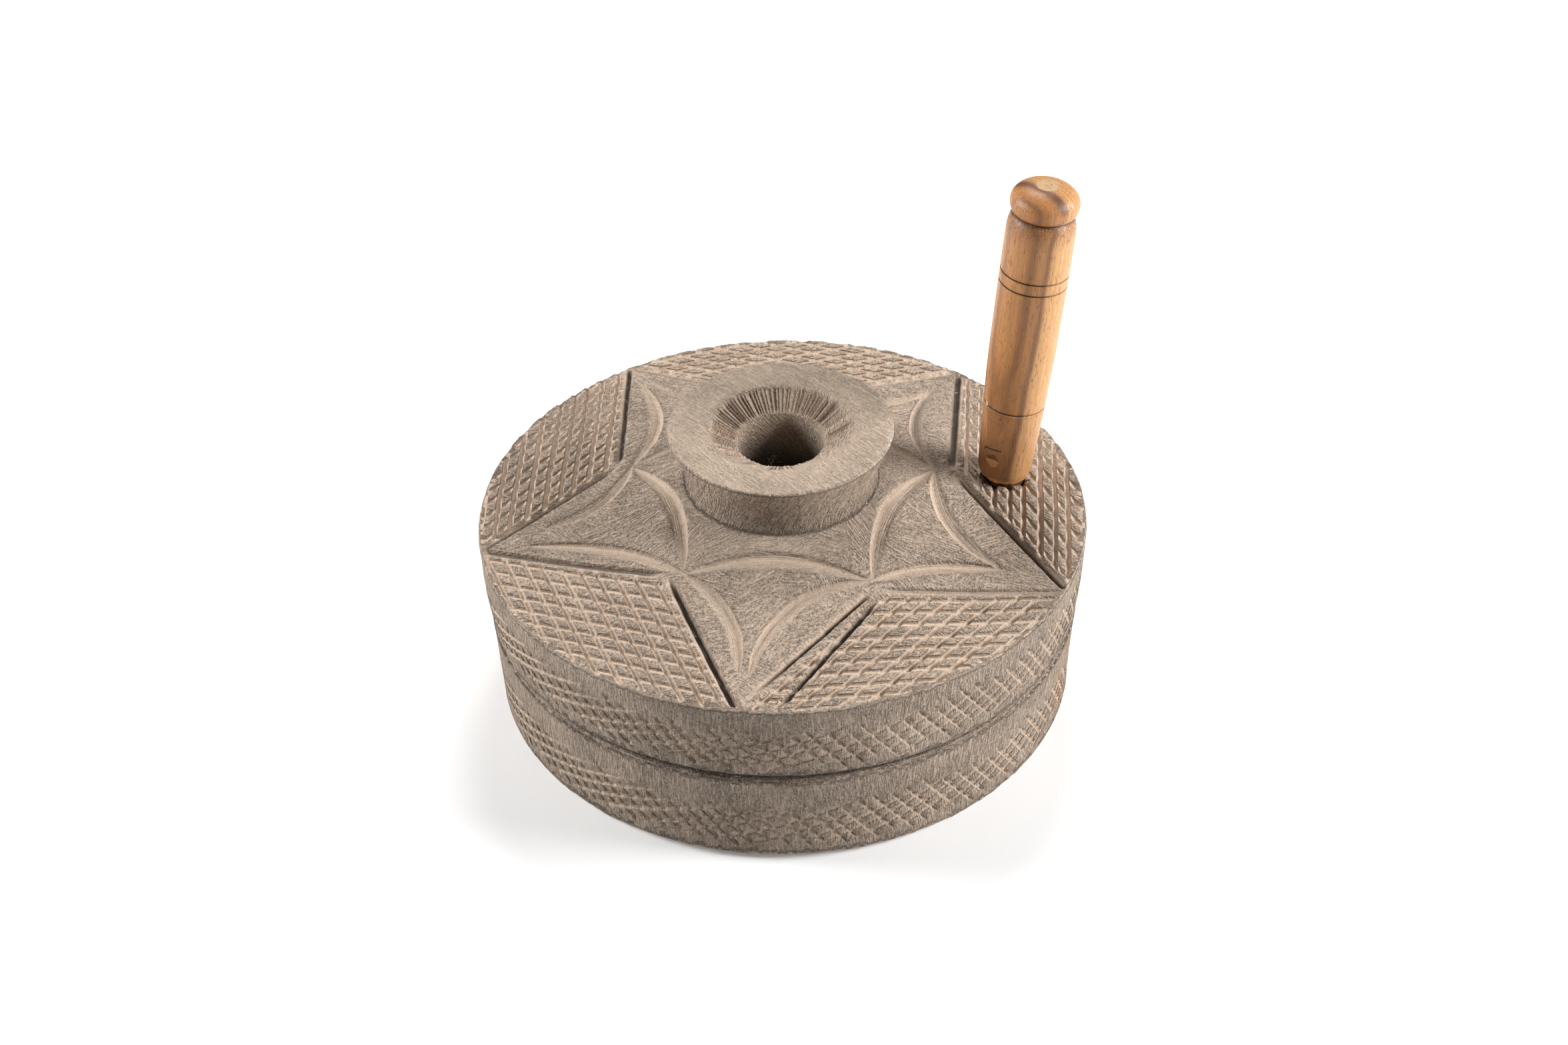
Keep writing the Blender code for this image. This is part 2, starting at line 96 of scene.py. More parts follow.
class Ripple:
    """Smooth seeded noise over a plane, between -1 and 1."""

    COUNT = 61

    def __init__(self, seed: int, cell: float, around: float = 0.0) -> None:
        """Fills the table of heights.

        Args:
            seed: the noise's own number.
            cell: how far apart its heights are.
            around: the length along x after which it repeats, or 0.
        """
        columns = round(around / cell) if around else self.COUNT
        self.counts = np.array([columns, self.COUNT])
        self.cells = np.array([around / columns if around else cell, cell])
        self.table = np.random.default_rng(seed).uniform(-1.0, 1.0, self.counts)

    def at(self, places: Array) -> Array:
        """The noise at flat places.

        Args:
            places: an array whose last axis is x and y.

        Returns:
            One number for each place.
        """
        scaled = places / self.cells
        whole = np.floor(scaled).astype(int)
        share = scaled - whole
        share = share * share * (3.0 - 2.0 * share)
        near = whole % self.counts
        far = (whole + 1) % self.counts
        low = self.table[near[..., 0], near[..., 1]] * (1.0 - share[..., 0])
        low = low + self.table[far[..., 0], near[..., 1]] * share[..., 0]
        high = self.table[near[..., 0], far[..., 1]] * (1.0 - share[..., 0])
        high = high + self.table[far[..., 0], far[..., 1]] * share[..., 0]
        return low * (1.0 - share[..., 1]) + high * share[..., 1]


def sunk(ripples: tuple[Ripple, Ripple], depths: tuple[float, float], places: Array) -> Array:
    """How far a surface sinks under a broad and a small ripple."""
    return sum((ripple.at(places) + 1.0) * depth for ripple, depth in zip(ripples, depths))


def wrapped(angles: Array, radius: float, up: float = 0.0) -> Array:
    """Flat places round a wall of a radius, all at one height."""
    return np.stack([angles % (2.0 * pi) * radius, angles * 0.0 + up], -1)


# Patches of surface and how they become pieces


@dataclass
class Patch:
    """A patch of surface, not yet joined to its neighbours.

    sheet holds each point's place on the surface laid out flat, in metres, for the tool marks.
    """

    places: Array
    faces: Array
    sheet: Array
    marks: Marks = field(default_factory=dict)


class Plan:
    """Chains and loose points of a flat drawing that is cut into triangles in one go."""

    def __init__(self, gap: float) -> None:
        """Starts an empty plan.

        Args:
            gap: loose points nearer than this to a chain are left out.
        """
        self.gap = gap
        self.chained: list[Array] = []
        self.loose: list[Array] = []
        self.lines: list[tuple[int, int]] = []
        self.ties: list[Array] = []
        self.count = 0

    def chain(self, places: Array, closed: bool = False) -> None:
        """Adds points joined by a line from each to the next.

        Args:
            places: the points, one a row.
            closed: whether the last is joined to the first.
        """
        numbers = range(self.count, self.count + len(places))
        self.lines += list(zip(numbers, numbers[1:]))
        if closed:
            self.lines.append((numbers[-1], numbers[0]))
        self.chained.append(np.asarray(places, float))
        self.count += len(places)

    def scatter(self, places: Array) -> None:
        """Adds loose points."""
        self.loose.append(places)

    def net(self, places: Array, wanted: Array, tied: Array) -> None:
        """Adds a net of loose points joined to their neighbours.

        Args:
            places: rows × columns × 2 places.
            wanted: rows × columns, whether each point is added.
            tied: rows × columns, whether it is also joined to its neighbours.
        """
        before = sum(len(part) for part in self.loose)
        numbers = np.cumsum(wanted.ravel()).reshape(wanted.shape) - 1 + before
        tied = tied & wanted
        for one, two in ((np.s_[:-1, :], np.s_[1:, :]), (np.s_[:, :-1], np.s_[:, 1:])):
            both = tied[one] & tied[two]
            self.ties.append(np.stack([numbers[one][both], numbers[two][both]], -1))
        self.scatter(places[wanted])

    def grid(self, low: Array, high: Array, spacing: float, keep: Callable[[Array], Array]) -> None:
        """Adds loose points in rows set off by half a step.

        Args:
            low: the lowest corner.
            high: the highest corner.
            spacing: the distance between points.
            keep: says which points are wanted.
        """
        rows = np.arange(low[1], high[1], spacing * sqrt(0.75))
        columns = np.arange(low[0], high[0], spacing)
        across, up = np.meshgrid(columns, rows)
        across = across + (np.arange(len(rows)) % 2)[:, None] * spacing / 2.0
        places = np.stack([across.ravel(), up.ravel()], -1)
        self.scatter(places[keep(places)])

    def triangles(self, keep: Callable[[Array], Array]) -> tuple[Array, Array]:
        """Cuts the plan.

        Args:
            keep: says, from the middles of the triangles, which are wanted.

        Returns:
            The points and the triangles' corner numbers.
        """
        chained = np.vstack(self.chained)
        loose = np.vstack(self.loose)
        tree = KDTree(len(chained))
        for number, (x, y) in enumerate(chained):
            tree.insert((x, y, 0.0), number)
        tree.balance()
        clear = np.array([tree.find((x, y, 0.0))[2] > self.gap for x, y in loose])
        given = np.vstack([chained, loose[clear]])
        lines = list(self.lines)
        if self.ties:
            ties = np.vstack(self.ties)
            numbers = np.cumsum(clear) - 1 + len(chained)
            lines += numbers[ties[clear[ties].all(1)]].tolist()
        found = delaunay_2d_cdt([Vector(point) for point in given], lines, [], 0, PLAN_TOLERANCE, True)
        points = np.array([(point.x, point.y) for point in found[0]])
        for number, origins in enumerate(found[3]):
            if origins:
                points[number] = given[origins[0]]
        faces = np.array([face for face in found[2] if len(face) == 3])
        return points, faces[keep(points[faces].mean(1))]


def woven(places: Array, sheet: Array, marks: Marks | None = None) -> Patch:
    """A patch of quads from rows and columns of places.

    Args:
        places: rows × columns × 3 places in space.
        sheet: rows × columns × 2 places on the surface laid flat.
        marks: rows × columns numbers under each mark's name.

    Returns:
        The patch.
    """
    rows, columns = places.shape[:2]
    numbers = np.arange(rows * columns).reshape(rows, columns)
    corners = [numbers[:-1, :-1], numbers[:-1, 1:], numbers[1:, 1:], numbers[1:, :-1]]
    faces = np.stack([corner.ravel() for corner in corners], -1)
    flat_marks = {name: values.ravel() for name, values in (marks or {}).items()}
    return Patch(places.reshape(-1, 3), faces, sheet.reshape(-1, 2), flat_marks)


@dataclass(frozen=True)
class Profile:
    """A line of radii and heights, resampled finely, that is turned round an axis."""

    corners: tuple[tuple[float, float], ...]
    spacing: float

    def samples(self) -> Array:
        """The profile's points: its corners, and points between them no further apart than the spacing."""
        points = [np.array(self.corners[0])]
        for start, end in zip(self.corners, self.corners[1:]):
            start, end = np.array(start), np.array(end)
            parts = max(1, int(np.ceil(lengths(end - start) / self.spacing)))
            points += [start + (end - start) * number / parts for number in range(1, parts + 1)]
        return np.array(points)


def turned(radii: Array, heights: Array, angles: Array) -> Array:
    """Places in space from radii and heights, each rows × columns, and one angle a column."""
    flat = polar(radii, np.broadcast_to(angles, radii.shape))
    return np.concatenate([flat, heights[..., None]], -1)


def round_angles(columns: int) -> Array:
    """Angles once round, the first repeated at the end, so that a patch can be laid out flat."""
    return np.linspace(0.0, 2.0 * pi, columns + 1)


def make_piece(name: str, patches: list[Patch], finish: bpy.types.Material, sharp: float) -> bpy.types.Object:
    """Joins patches into one closed mesh with its finish.

    Args:
        name: the piece's name.
        patches: the patches, whose edges meet.
        finish: the piece's material.
        sharp: edges that turn more than this angle stay crisp.

    Returns:
        The new object, linked to the scene.
    """
    names = sorted({mark for patch in patches for mark in patch.marks})
    places = np.vstack([patch.places for patch in patches])
    sheet = np.vstack([patch.sheet for patch in patches])
    faces: list[list[int]] = []
    start = 0
    for patch in patches:
        faces += (patch.faces + start).tolist()
        start += len(patch.places)
    mesh = bpy.data.meshes.new(name)
    mesh.from_pydata(places.tolist(), [], faces)
    corners = np.empty(len(mesh.loops), np.int32)
    mesh.loops.foreach_get("vertex_index", corners)
    mesh.uv_layers.new(name="sheet").uv.foreach_set("vector", sheet[corners].astype(np.float32).ravel())
    for mark in names:
        values = [patch.marks.get(mark, np.zeros(len(patch.places))) for patch in patches]
        attribute = mesh.attributes.new(mark, "FLOAT", "POINT")
        attribute.data.foreach_set("value", np.hstack(values).astype(np.float32))
    bm = bmesh.new()
    bm.from_mesh(mesh)
    bmesh.ops.remove_doubles(bm, verts=bm.verts, dist=WELD_DISTANCE)
    bmesh.ops.recalc_face_normals(bm, faces=bm.faces)
    open_edges = sum(1 for edge in bm.edges if len(edge.link_faces) < 2)
    bm.to_mesh(mesh)
    bm.free()
    mesh.materials.append(finish)
    mesh.shade_smooth()
    mesh.set_sharp_from_angle(angle=sharp)
    piece = bpy.data.objects.new(name, mesh)
    bpy.context.scene.collection.objects.link(piece)
    mesh.calc_loop_triangles()
    log.info("%s: %d triangles, %d open edges", name, len(mesh.loop_triangles), open_edges)
    return piece


# Shader maths


class Number:
    """A number in a material's nodes. Python's operators on it add Math nodes."""

    def __init__(self, shading: "Shading", socket: Socket) -> None:
        """Wraps a socket of a material."""
        self.shading = shading
        self.socket = socket

    def __add__(self, other: "Number | float") -> "Number":
        """Their sum."""
        return self.shading.sum_of("ADD", self, other)

    __radd__ = __add__

    def __mul__(self, other: "Number | float") -> "Number":
        """Their product."""
        return self.shading.sum_of("MULTIPLY", self, other)

    __rmul__ = __mul__

    def __sub__(self, other: "Number | float") -> "Number":
        """This less the other."""
        return self.shading.sum_of("SUBTRACT", self, other)

    def __rsub__(self, other: float) -> "Number":
        """The other less this."""
        return self.shading.sum_of("SUBTRACT", other, self)

    def __abs__(self) -> "Number":
        """Its size without its sign."""
        return self.shading.sum_of("ABSOLUTE", self)

    def step(self, low: float, high: float) -> "Number":
        """A smooth step from 0 at low to 1 at high; the other way round where low is the greater.

        Args:
            low: the value that gives 0.
            high: the value that gives 1.

        Returns:
            The step.
        """
        settings = {"interpolation_type": "SMOOTHSTEP"}
        if low > high:
            values = {"Value": self, "From Min": high, "From Max": low, "To Min": 1.0, "To Max": 0.0}
        else:
            values = {"Value": self, "From Min": low, "From Max": high}
        return self.shading.number("ShaderNodeMapRange", settings, values)


class Shading:
    """A material under construction, with short ways to add its nodes."""

    def __init__(self, name: str) -> None:
        """Starts a material with a plain shader."""
        self.material = bpy.data.materials.new(name)
        self.material.use_nodes = True
        self.tree = self.material.node_tree
        self.shader = self.tree.nodes["Principled BSDF"]

    def node(self, kind: str, settings: dict | None = None, values: dict | None = None) -> bpy.types.Node:
        """Adds a node.

        Args:
            kind: the node's type.
            settings: its properties, set first.
            values: numbers, colours or links under its sockets' names or places.

        Returns:
            The node.
        """
        node = self.tree.nodes.new(kind)
        for name, setting in (settings or {}).items():
            setattr(node, name, setting)
        for socket, value in (values or {}).items():
            self.feed(node.inputs[socket], value)
        return node

    def feed(self, socket: Socket, value: object) -> None:
        """Links or sets a socket.

        Args:
            socket: the input.
            value: a number, a link or a plain value.
        """
        if isinstance(value, Number):
            value = value.socket
        if isinstance(value, Socket):
            self.tree.links.new(value, socket)
        else:
            socket.default_value = value

    def number(self, kind: str, settings: dict | None = None, values: dict | None = None,
               out: int | str = 0) -> Number:
        """Adds a node and wraps one of its outputs as a number."""
        return Number(self, self.node(kind, settings, values).outputs[out])

    def sum_of(self, operation: str, *numbers: "Number | float") -> Number:
        """Adds a Math node."""
        return self.number("ShaderNodeMath", {"operation": operation}, dict(enumerate(numbers)))

    def mark(self, name: str) -> Number:
        """A mark of the mesh, by its name."""
        return self.number("ShaderNodeAttribute", {"attribute_name": name}, out="Fac")

    def scaled(self, vector: Socket, scale: tuple[float, float, float]) -> Socket:
        """A vector times another, part by part."""
        return self.node("ShaderNodeVectorMath", {"operation": "MULTIPLY"}, {0: vector, 1: scale}).outputs[0]

    def millimetres(self, vector: Socket) -> Socket:
        """A vector in metres turned into millimetres."""
        return self.scaled(vector, (1.0 / MILLIMETRE,) * 3)

    def parts(self, vector: Socket) -> list[Number]:
        """The x, y and z of a vector."""
        return [Number(self, part) for part in self.node("ShaderNodeSeparateXYZ", None, {0: vector}).outputs]

    def joined(self, x: Number, y: Number, z: Number | float) -> Socket:
        """A vector from three numbers."""
        return self.node("ShaderNodeCombineXYZ", None, {0: x, 1: y, 2: z}).outputs[0]

    def noise(self, vector: Socket, scale: float, detail: float = 2.0, rough: float = 0.5) -> Number:
        """Soft noise between 0 and 1."""
        values = {"Vector": vector, "Scale": scale, "Detail": detail, "Roughness": rough}
        return self.number("ShaderNodeTexNoise", None, values)

    def cells(self, vector: Socket, scale: float, out: str, flat: bool = False) -> Number:
        """One output of a pattern of cells."""
        settings = {"voronoi_dimensions": "2D" if flat else "3D"}
        return self.number("ShaderNodeTexVoronoi", settings, {"Vector": vector, "Scale": scale}, out)

    def mix(self, share: Number, first: Colour | Socket, second: Colour | Socket) -> Socket:
        """Mixes two colours, with a share of the second.

        Args:
            share: how much of the second.
            first: a colour or a link.
            second: a colour or a link.

        Returns:
            The colour's socket.
        """
        colours = [(*colour, 1.0) if isinstance(colour, tuple) else colour for colour in (first, second)]
        settings = {"data_type": "RGBA", "clamp_factor": True}
        return self.node("ShaderNodeMix", settings, {0: share, 6: colours[0], 7: colours[1]}).outputs[2]

    def layered(self, colour: Colour | Socket, *layers: tuple[Number, Colour | Socket]) -> Socket:
        """A colour with others laid over it in turn, each by its own share.

        Args:
            colour: the colour underneath.
            layers: each layer's share and its colour.

        Returns:
            The last colour's socket.
        """
        for share, over in layers:
            colour = self.mix(share, colour, over)
        return colour

    def bump(self, height: Number, distance: float) -> Socket:
        """A normal from a height that is a share of a distance."""
        values = {"Height": height, "Distance": distance, "Strength": 1.0}
        return self.node("ShaderNodeBump", None, values).outputs[0]

    def finish(self, values: dict[str, object]) -> bpy.types.Material:
        """Feeds the shader's sockets by their names and returns the material.

        Args:
            values: what each socket gets.

        Returns:
            The material.
        """
        for name, value in values.items():
            self.feed(self.shader.inputs[name], value)
        return self.material


@dataclass(frozen=True)
class StoneFinish:
    """Grey-brown volcanic stone, dressed with a toothed chisel and cut with smooth tan strokes."""

    name: str
    stain: float = 0.0
    pale: Colour = (0.690, 0.538, 0.416)
    dull: Colour = (0.170, 0.131, 0.100)
    cut_colour: Colour = (0.412, 0.313, 0.234)
    # Near-black for painted shade, laid wherever the 'deep' mark is.
    painted_shade_colour: Colour = (0.036, 0.031, 0.026)
    crystal: Colour = (0.86, 0.82, 0.76)
    pit: Colour = (0.055, 0.047, 0.042)
    rust: Colour = (0.46, 0.235, 0.115)
    rust_place: tuple[float, float, float] = (149.0, -45.0, 30.0)
    relief: float = 0.78
    specular: float = 0.35

    def make(self) -> bpy.types.Material:
        """Builds the material."""
        shading = Shading(self.name)
        sheet = shading.millimetres(shading.node("ShaderNodeUVMap", {"uv_map": "sheet"}).outputs[0])
        solid = shading.millimetres(shading.node("ShaderNodeTexCoord").outputs["Object"])
        cut = shading.mark("cut")
        rough = 1.0 - cut

        tooth = self.tooth_marks(shading, sheet)
        fine = shading.noise(solid, 2.5, 2.0, 0.6)
        grain = shading.noise(solid, 0.75, 3.0, 0.65)
        lumps = shading.noise(solid, 0.30, 2.0, 0.6)
        mottle = shading.noise(solid, 0.045, 3.0, 0.6)
        clusters = shading.noise(solid, 0.10, 2.0, 0.6).step(0.665, 0.72)
        flecks = shading.noise(solid, 1.1, 2.0, 0.6)
        crystals = flecks.step(0.54, 0.60) * clusters
        pits = flecks.step(0.43, 0.36) * clusters
        dots = shading.cells(solid, 0.42, "Distance").step(0.20, 0.12) * lumps.step(0.52, 0.60)

        level = shading.mark("lay").step(0.30, 0.45)
        shade = 0.60 + ((fine - 0.5) * 2.8 + (grain - 0.5) * 2.2) * (1.0 - level * 0.42)
        shade = shade + (tooth - 0.5) * rough * (0.44 - level * 0.06) + (mottle - 0.5) * 0.7
        groove = shading.mark("groove")
        run = shading.joined(groove * 11.0, mottle * 2.0, 0.0)
        streaks = (shading.noise(run, 1.0, 2.0, 0.6).step(0.36, 0.64) - 0.5) * groove.step(0.0, 0.1)
        smooth = 0.45 + streaks * 0.5 + (fine - 0.5) + (grain - 0.5) * 1.2
        colour = shading.layered(
            shading.mix(shade.step(0.0, 1.0), self.dull, self.pale),
            (cut * 0.8, shading.mix(smooth.step(0.0, 1.0), self.cut_colour, self.pale)),
            # The 'pale' mark lightens the stone, and in front of the hub it is painted light; the 'deep' mark
            # is painted shade.
            (shading.mark("pale") * 0.45, self.pale), (shading.mark("deep") * 0.9, self.painted_shade_colour),
            (dots * rough * 0.55, self.pit), (crystals * 0.8 + shading.mark("chip") * 0.7, self.crystal),
            (pits * 0.8, self.pit))
        if self.stain:
            colour = self.rusted(shading, solid, colour)

        height = tooth * rough * 1.5 + fine * (rough * 0.8 + 0.2) + grain * (rough * 0.9 + 0.3)
        height = height + lumps * rough * 0.5 + streaks * 0.35
        height = height - pits * 0.9 - dots * rough * 0.6 + crystals * 0.2
        roughness = 0.80 + rough * 0.10 - crystals * 0.25
        normal = shading.bump(height, self.relief * MILLIMETRE)
        return shading.finish({
            "Base Color": colour, "Roughness": roughness, "Normal": normal,
            "Specular IOR Level": self.specular})

    def tooth_marks(self, shading: Shading, sheet: Socket) -> Number:
        """The toothed chisel's marks: fine parallel lines whose direction changes from patch to patch.

        Args:
            shading: the material.
            sheet: the surface laid flat, in millimetres.

        Returns:
            Their height between 0 and 1.
        """
        bent = shading.node("ShaderNodeTexNoise", None, {"Vector": sheet, "Scale": 0.06, "Detail": 1.0})
        values = {0: bent.outputs[1], 1: (6.0,) * 3, 2: sheet}
        waved = shading.node("ShaderNodeVectorMath", {"operation": "MULTIPLY_ADD"}, values)
        patch = shading.cells(waved.outputs[0], 0.050, "Color", True)
        own = shading.number("ShaderNodeSeparateColor", None, {0: patch}) - 0.5
        turn = (shading.mark("lay") + own * shading.mark("loose") * 0.7) * pi
        x, y, _ = shading.parts(sheet)
        level, upright = shading.sum_of("COSINE", turn), shading.sum_of("SINE", turn)
        across = x * upright - y * level
        along = x * level + y * upright
        lines = shading.noise(shading.joined(across * 0.95, along * 0.085, turn * 5.0), 1.0, 1.0, 0.5)
        scores = shading.noise(shading.joined(across * 2.1, along * 0.20, turn * 3.0), 1.0, 1.0, 0.5)
        return (lines * 0.5 + scores * 0.5).step(0.36, 0.64)

    def rusted(self, shading: Shading, solid: Socket, colour: Socket) -> Socket:
        """Adds the rust stain on one side.

        Args:
            shading: the material.
            solid: places in millimetres.
            colour: the colour so far.

        Returns:
            The stained colour.
        """
        values = {0: solid, 1: self.rust_place}
        distance = shading.number("ShaderNodeVectorMath", {"operation": "DISTANCE"}, values, "Value")
        blots = shading.noise(solid, 0.11, 4.0, 0.65).step(0.47, 0.62)
        return shading.mix(distance.step(34.0, 12.0) * blots * self.stain, colour, self.rust)


@dataclass(frozen=True)
class Spot:
    """A small mark on the handle: its height in millimetres, its angle and its radius."""

    height: float
    angle: float
    radius: float


@dataclass(frozen=True)
class WoodFinish:
    """Oiled turned hardwood: pale sapwood on one side, brown heartwood on the other, a dark line between."""

    name: str
    sapwood: Colour = (0.590, 0.320, 0.128)
    heartwood: Colour = (0.480, 0.190, 0.058)
    dark: Colour = (0.135, 0.056, 0.026)
    torn_colour: Colour = (0.800, 0.380, 0.140)
    sawn: Colour = (0.560, 0.370, 0.205)
    ink: Colour = (0.010, 0.010, 0.012)
    chip_colour: Colour = (0.80, 0.78, 0.74)
    heart_angle: float = radians(-132.5)
    heart_offset: float = 10.6
    knob_offset: float = 6.0
    second_offset: float = 15.6
    rings: tuple[float, ...] = (48.1, 121.5, 128.0)
    faint_ring: float = 46.2
    ink_line: tuple[Spot, Spot] = (Spot(22.6, radians(-150.0), 0.55), Spot(24.0, radians(-110.0), 0.55))
    ink_tick: tuple[Spot, Spot] = (Spot(20.8, radians(-152.0), 0.9), Spot(22.8, radians(-147.0), 0.9))
    plug: Spot = Spot(16.0, radians(-127.0), 4.0)
    chip: Spot = Spot(48.4, radians(-160.0), 1.5)
    dot: Spot = Spot(70.9, radians(-74.0), 0.6)
    fleck: Spot = Spot(44.0, radians(-121.0), 0.7)
    grip_radius: float = 15.5
    relief: float = 0.28
    specular: float = 0.45

    def make(self) -> bpy.types.Material:
        """Builds the material."""
        shading = Shading(self.name)
        solid = shading.millimetres(shading.node("ShaderNodeTexCoord").outputs["Object"])
        x, y, height = shading.parts(solid)
        turn = shading.sum_of("ARCTAN2", y, x)
        drift = shading.noise(shading.scaled(solid, (0.3, 0.3, 1.0)), 0.022, 2.0) - 0.5
        depth = x * cos(self.heart_angle) + y * sin(self.heart_angle) + drift * 3.2
        on_knob = height.step(150.0, 168.0)
        offset = on_knob * (self.knob_offset - self.heart_offset) + self.heart_offset

        fibres = shading.noise(shading.scaled(solid, (1.0, 1.0, 0.030)), 1.0, 3.0, 0.65)
        threads = shading.noise(shading.scaled(solid, (1.0, 1.0, 0.045)), 2.6, 2.0, 0.6)
        pores = shading.noise(shading.scaled(solid, (1.0, 1.0, 0.13)), 2.0, 1.0, 0.5).step(0.62, 0.70)
        figure = shading.noise(shading.scaled(solid, (1.0, 1.0, 0.12)), 0.16, 2.0, 0.6)
        rings = shading.sum_of("SINE", depth * 2.1 + fibres * 2.4 + figure * 7.0) * 0.5 + 0.5
        heart = (depth - offset).step(-1.0, 0.6)
        reach = abs(depth - offset + (fibres - 0.5) * 2.0) * (1.0 - height.step(165.0, 170.0) * 0.55)
        line = reach.step(2.3, 0.1) * (1.0 - on_knob * height.step(171.0, 165.0) * 0.7)
        second = abs(depth - self.second_offset).step(1.5, 0.1)

        speckle = shading.noise(solid, 1.1, 2.0, 0.7).step(0.36, 0.64)
        scribed = self.scribed(height)
        # The hollow share is painted shade: it darkens the plug's hollow and the thin gap where the handle's
        # foot meets the stone.
        torn, hollow = self.torn_plug(shading, solid, height, turn)
        holes = shading.noise(solid, 0.75, 2.0, 0.6).step(0.60, 0.66)
        chipped = self.near(height, turn, self.chip) + shading.noise(solid, 0.9, 2.0) * 1.6
        colour = shading.layered(
            self.sapwood, (heart * 0.62, self.heartwood), (rings * (on_knob * 0.40 + 0.34), self.heartwood),
            (threads.step(0.38, 0.68) * 0.24, self.sapwood), (fibres.step(0.60, 0.36) * 0.22, self.dark),
            (line * (fibres * 0.3 + on_knob * 0.25 + 0.55) + second * 0.45, self.dark),
            (pores * 0.50, self.dark), (height.step(64.0, 14.0) * 0.26, self.dark),
            (shading.mark("brown") * (speckle * 0.6 + 0.25), self.dark),
            (scribed * (turn.step(-0.9, -1.7) * 0.45 + 0.45), self.ink),
            (shading.mark("sawn") * 0.9, self.sawn), (shading.mark("sawn") * holes * 0.7, self.dark),
            (torn, self.torn_colour), (hollow * 0.75, self.dark), (chipped.step(1.9, 1.6), self.chip_colour))
        for spot in (self.dot, self.fleck):
            inked = self.near(height, turn, spot).step(spot.radius, spot.radius * 0.5)
            colour = shading.mix(inked * 0.8, colour, self.ink)
        for start, end in (self.ink_line, self.ink_tick):
            colour = shading.mix(self.stroke(height, turn, start, end) * 0.95, colour, self.ink)

        lathe = shading.sum_of("SINE", height * 5.2 + drift * 8.0) * height.step(16.0, 4.0)
        relief = threads * 0.22 + fibres * 0.20 - pores * 0.55 + lathe * 0.10 - scribed * 1.2 - hollow * 1.5
        relief = relief + (shading.mark("sawn") + torn) * shading.noise(solid, 1.6, 3.0, 0.7) * 1.3
        roughness = 0.36 + fibres * 0.16 + torn * 0.3 + shading.mark("sawn") * 0.35 + scribed * 0.3
        normal = shading.bump(relief, self.relief * MILLIMETRE)
        return shading.finish({
            "Base Color": colour, "Roughness": roughness, "Normal": normal,
            "Specular IOR Level": self.specular})

    def near(self, height: Number, turn: Number, spot: Spot) -> Number:
        """How far a place on the handle is from a spot, in millimetres.

        Args:
            height: heights along the handle, in millimetres.
            turn: angles round it.
            spot: the spot.

        Returns:
            The distance.
        """
        up = height - spot.height
        across = (turn - spot.angle) * self.grip_radius
        return height.shading.sum_of("SQRT", up * up + across * across)

    def stroke(self, height: Number, turn: Number, start: Spot, end: Spot) -> Number:
        """Where a drawn line runs between two spots of the handle.

        Args:
            height: heights along the handle, in millimetres.
            turn: angles round it.
            start: where it starts.
            end: where it ends.

        Returns:
            A share, 1 on the line.
        """
        share = (turn - start.angle) * (1.0 / (end.angle - start.angle))
        away = abs(height - share * (end.height - start.height) - start.height)
        return away.step(start.radius, start.radius * 0.55) * share.step(-0.02, 0.03) * share.step(1.02, 0.96)

    def scribed(self, height: Number) -> Number:
        """Where the scribed rings are."""
        near = [abs(height - ring).step(0.50, 0.22) for ring in self.rings]
        return near[0] + near[1] + near[2] + abs(height - self.faint_ring).step(0.3, 0.1) * 0.25

    def torn_plug(self, shading: Shading, solid: Socket, height: Number,
                  turn: Number) -> tuple[Number, Number]:
        """The torn plug and foot, and the plug's dark hollow.

        Args:
            shading: the material.
            solid: places in millimetres.
            height: heights along the handle, in millimetres.
            turn: angles round it.

        Returns:
            A share for torn wood and one for the hollow.
        """
        ragged = (shading.noise(solid, 0.55, 3.0, 0.65) - 0.5) * 5.0
        away = self.near(height, turn, self.plug) + ragged
        plug = away.step(self.plug.radius, self.plug.radius - 0.5)
        upper = (height - self.plug.height + ragged * 0.3).step(0.2, 1.0)
        foot = (height + ragged * 0.9).step(4.6, 3.2)
        gap = (height + ragged * 1.3).step(1.2, 0.4)
        return plug * (1.0 - upper) + foot * (1.0 - gap), plug * upper + gap


@dataclass(frozen=True)
class PlainFinish:
    """One even colour, for the studio's floor."""

    name: str
    colour: Colour
    roughness: float
    glow: float = 0.0

    def make(self) -> bpy.types.Material:
        """Builds the material."""
        return Shading(self.name).finish({
            "Base Color": (*self.colour, 1.0), "Roughness": self.roughness,
            "Emission Color": WHITE, "Emission Strength": self.glow})


# Strokes


class Stroke(Enum):
    """How a stroke's depth changes where it crosses the other family."""

    EVEN = "even"
    BEADED = "beaded"
    KNOTTED = "knotted"

    def share(self, crossing: Array) -> Array:
        """The share of full depth along a stroke.

        Args:
            crossing: how far along, in crossings with the other family.

        Returns:
            A share for each place.
        """
        part = crossing - np.floor(crossing)
        if self is Stroke.BEADED:
            late = (part + 0.84) % 1.0
            return 0.22 + 0.78 * eased(late, 0.10, 0.42) * eased(late, 1.0, 0.92)
        if self is Stroke.KNOTTED:
            return 0.80 + 0.20 * np.cos(2.0 * pi * part)
        return np.ones_like(part)


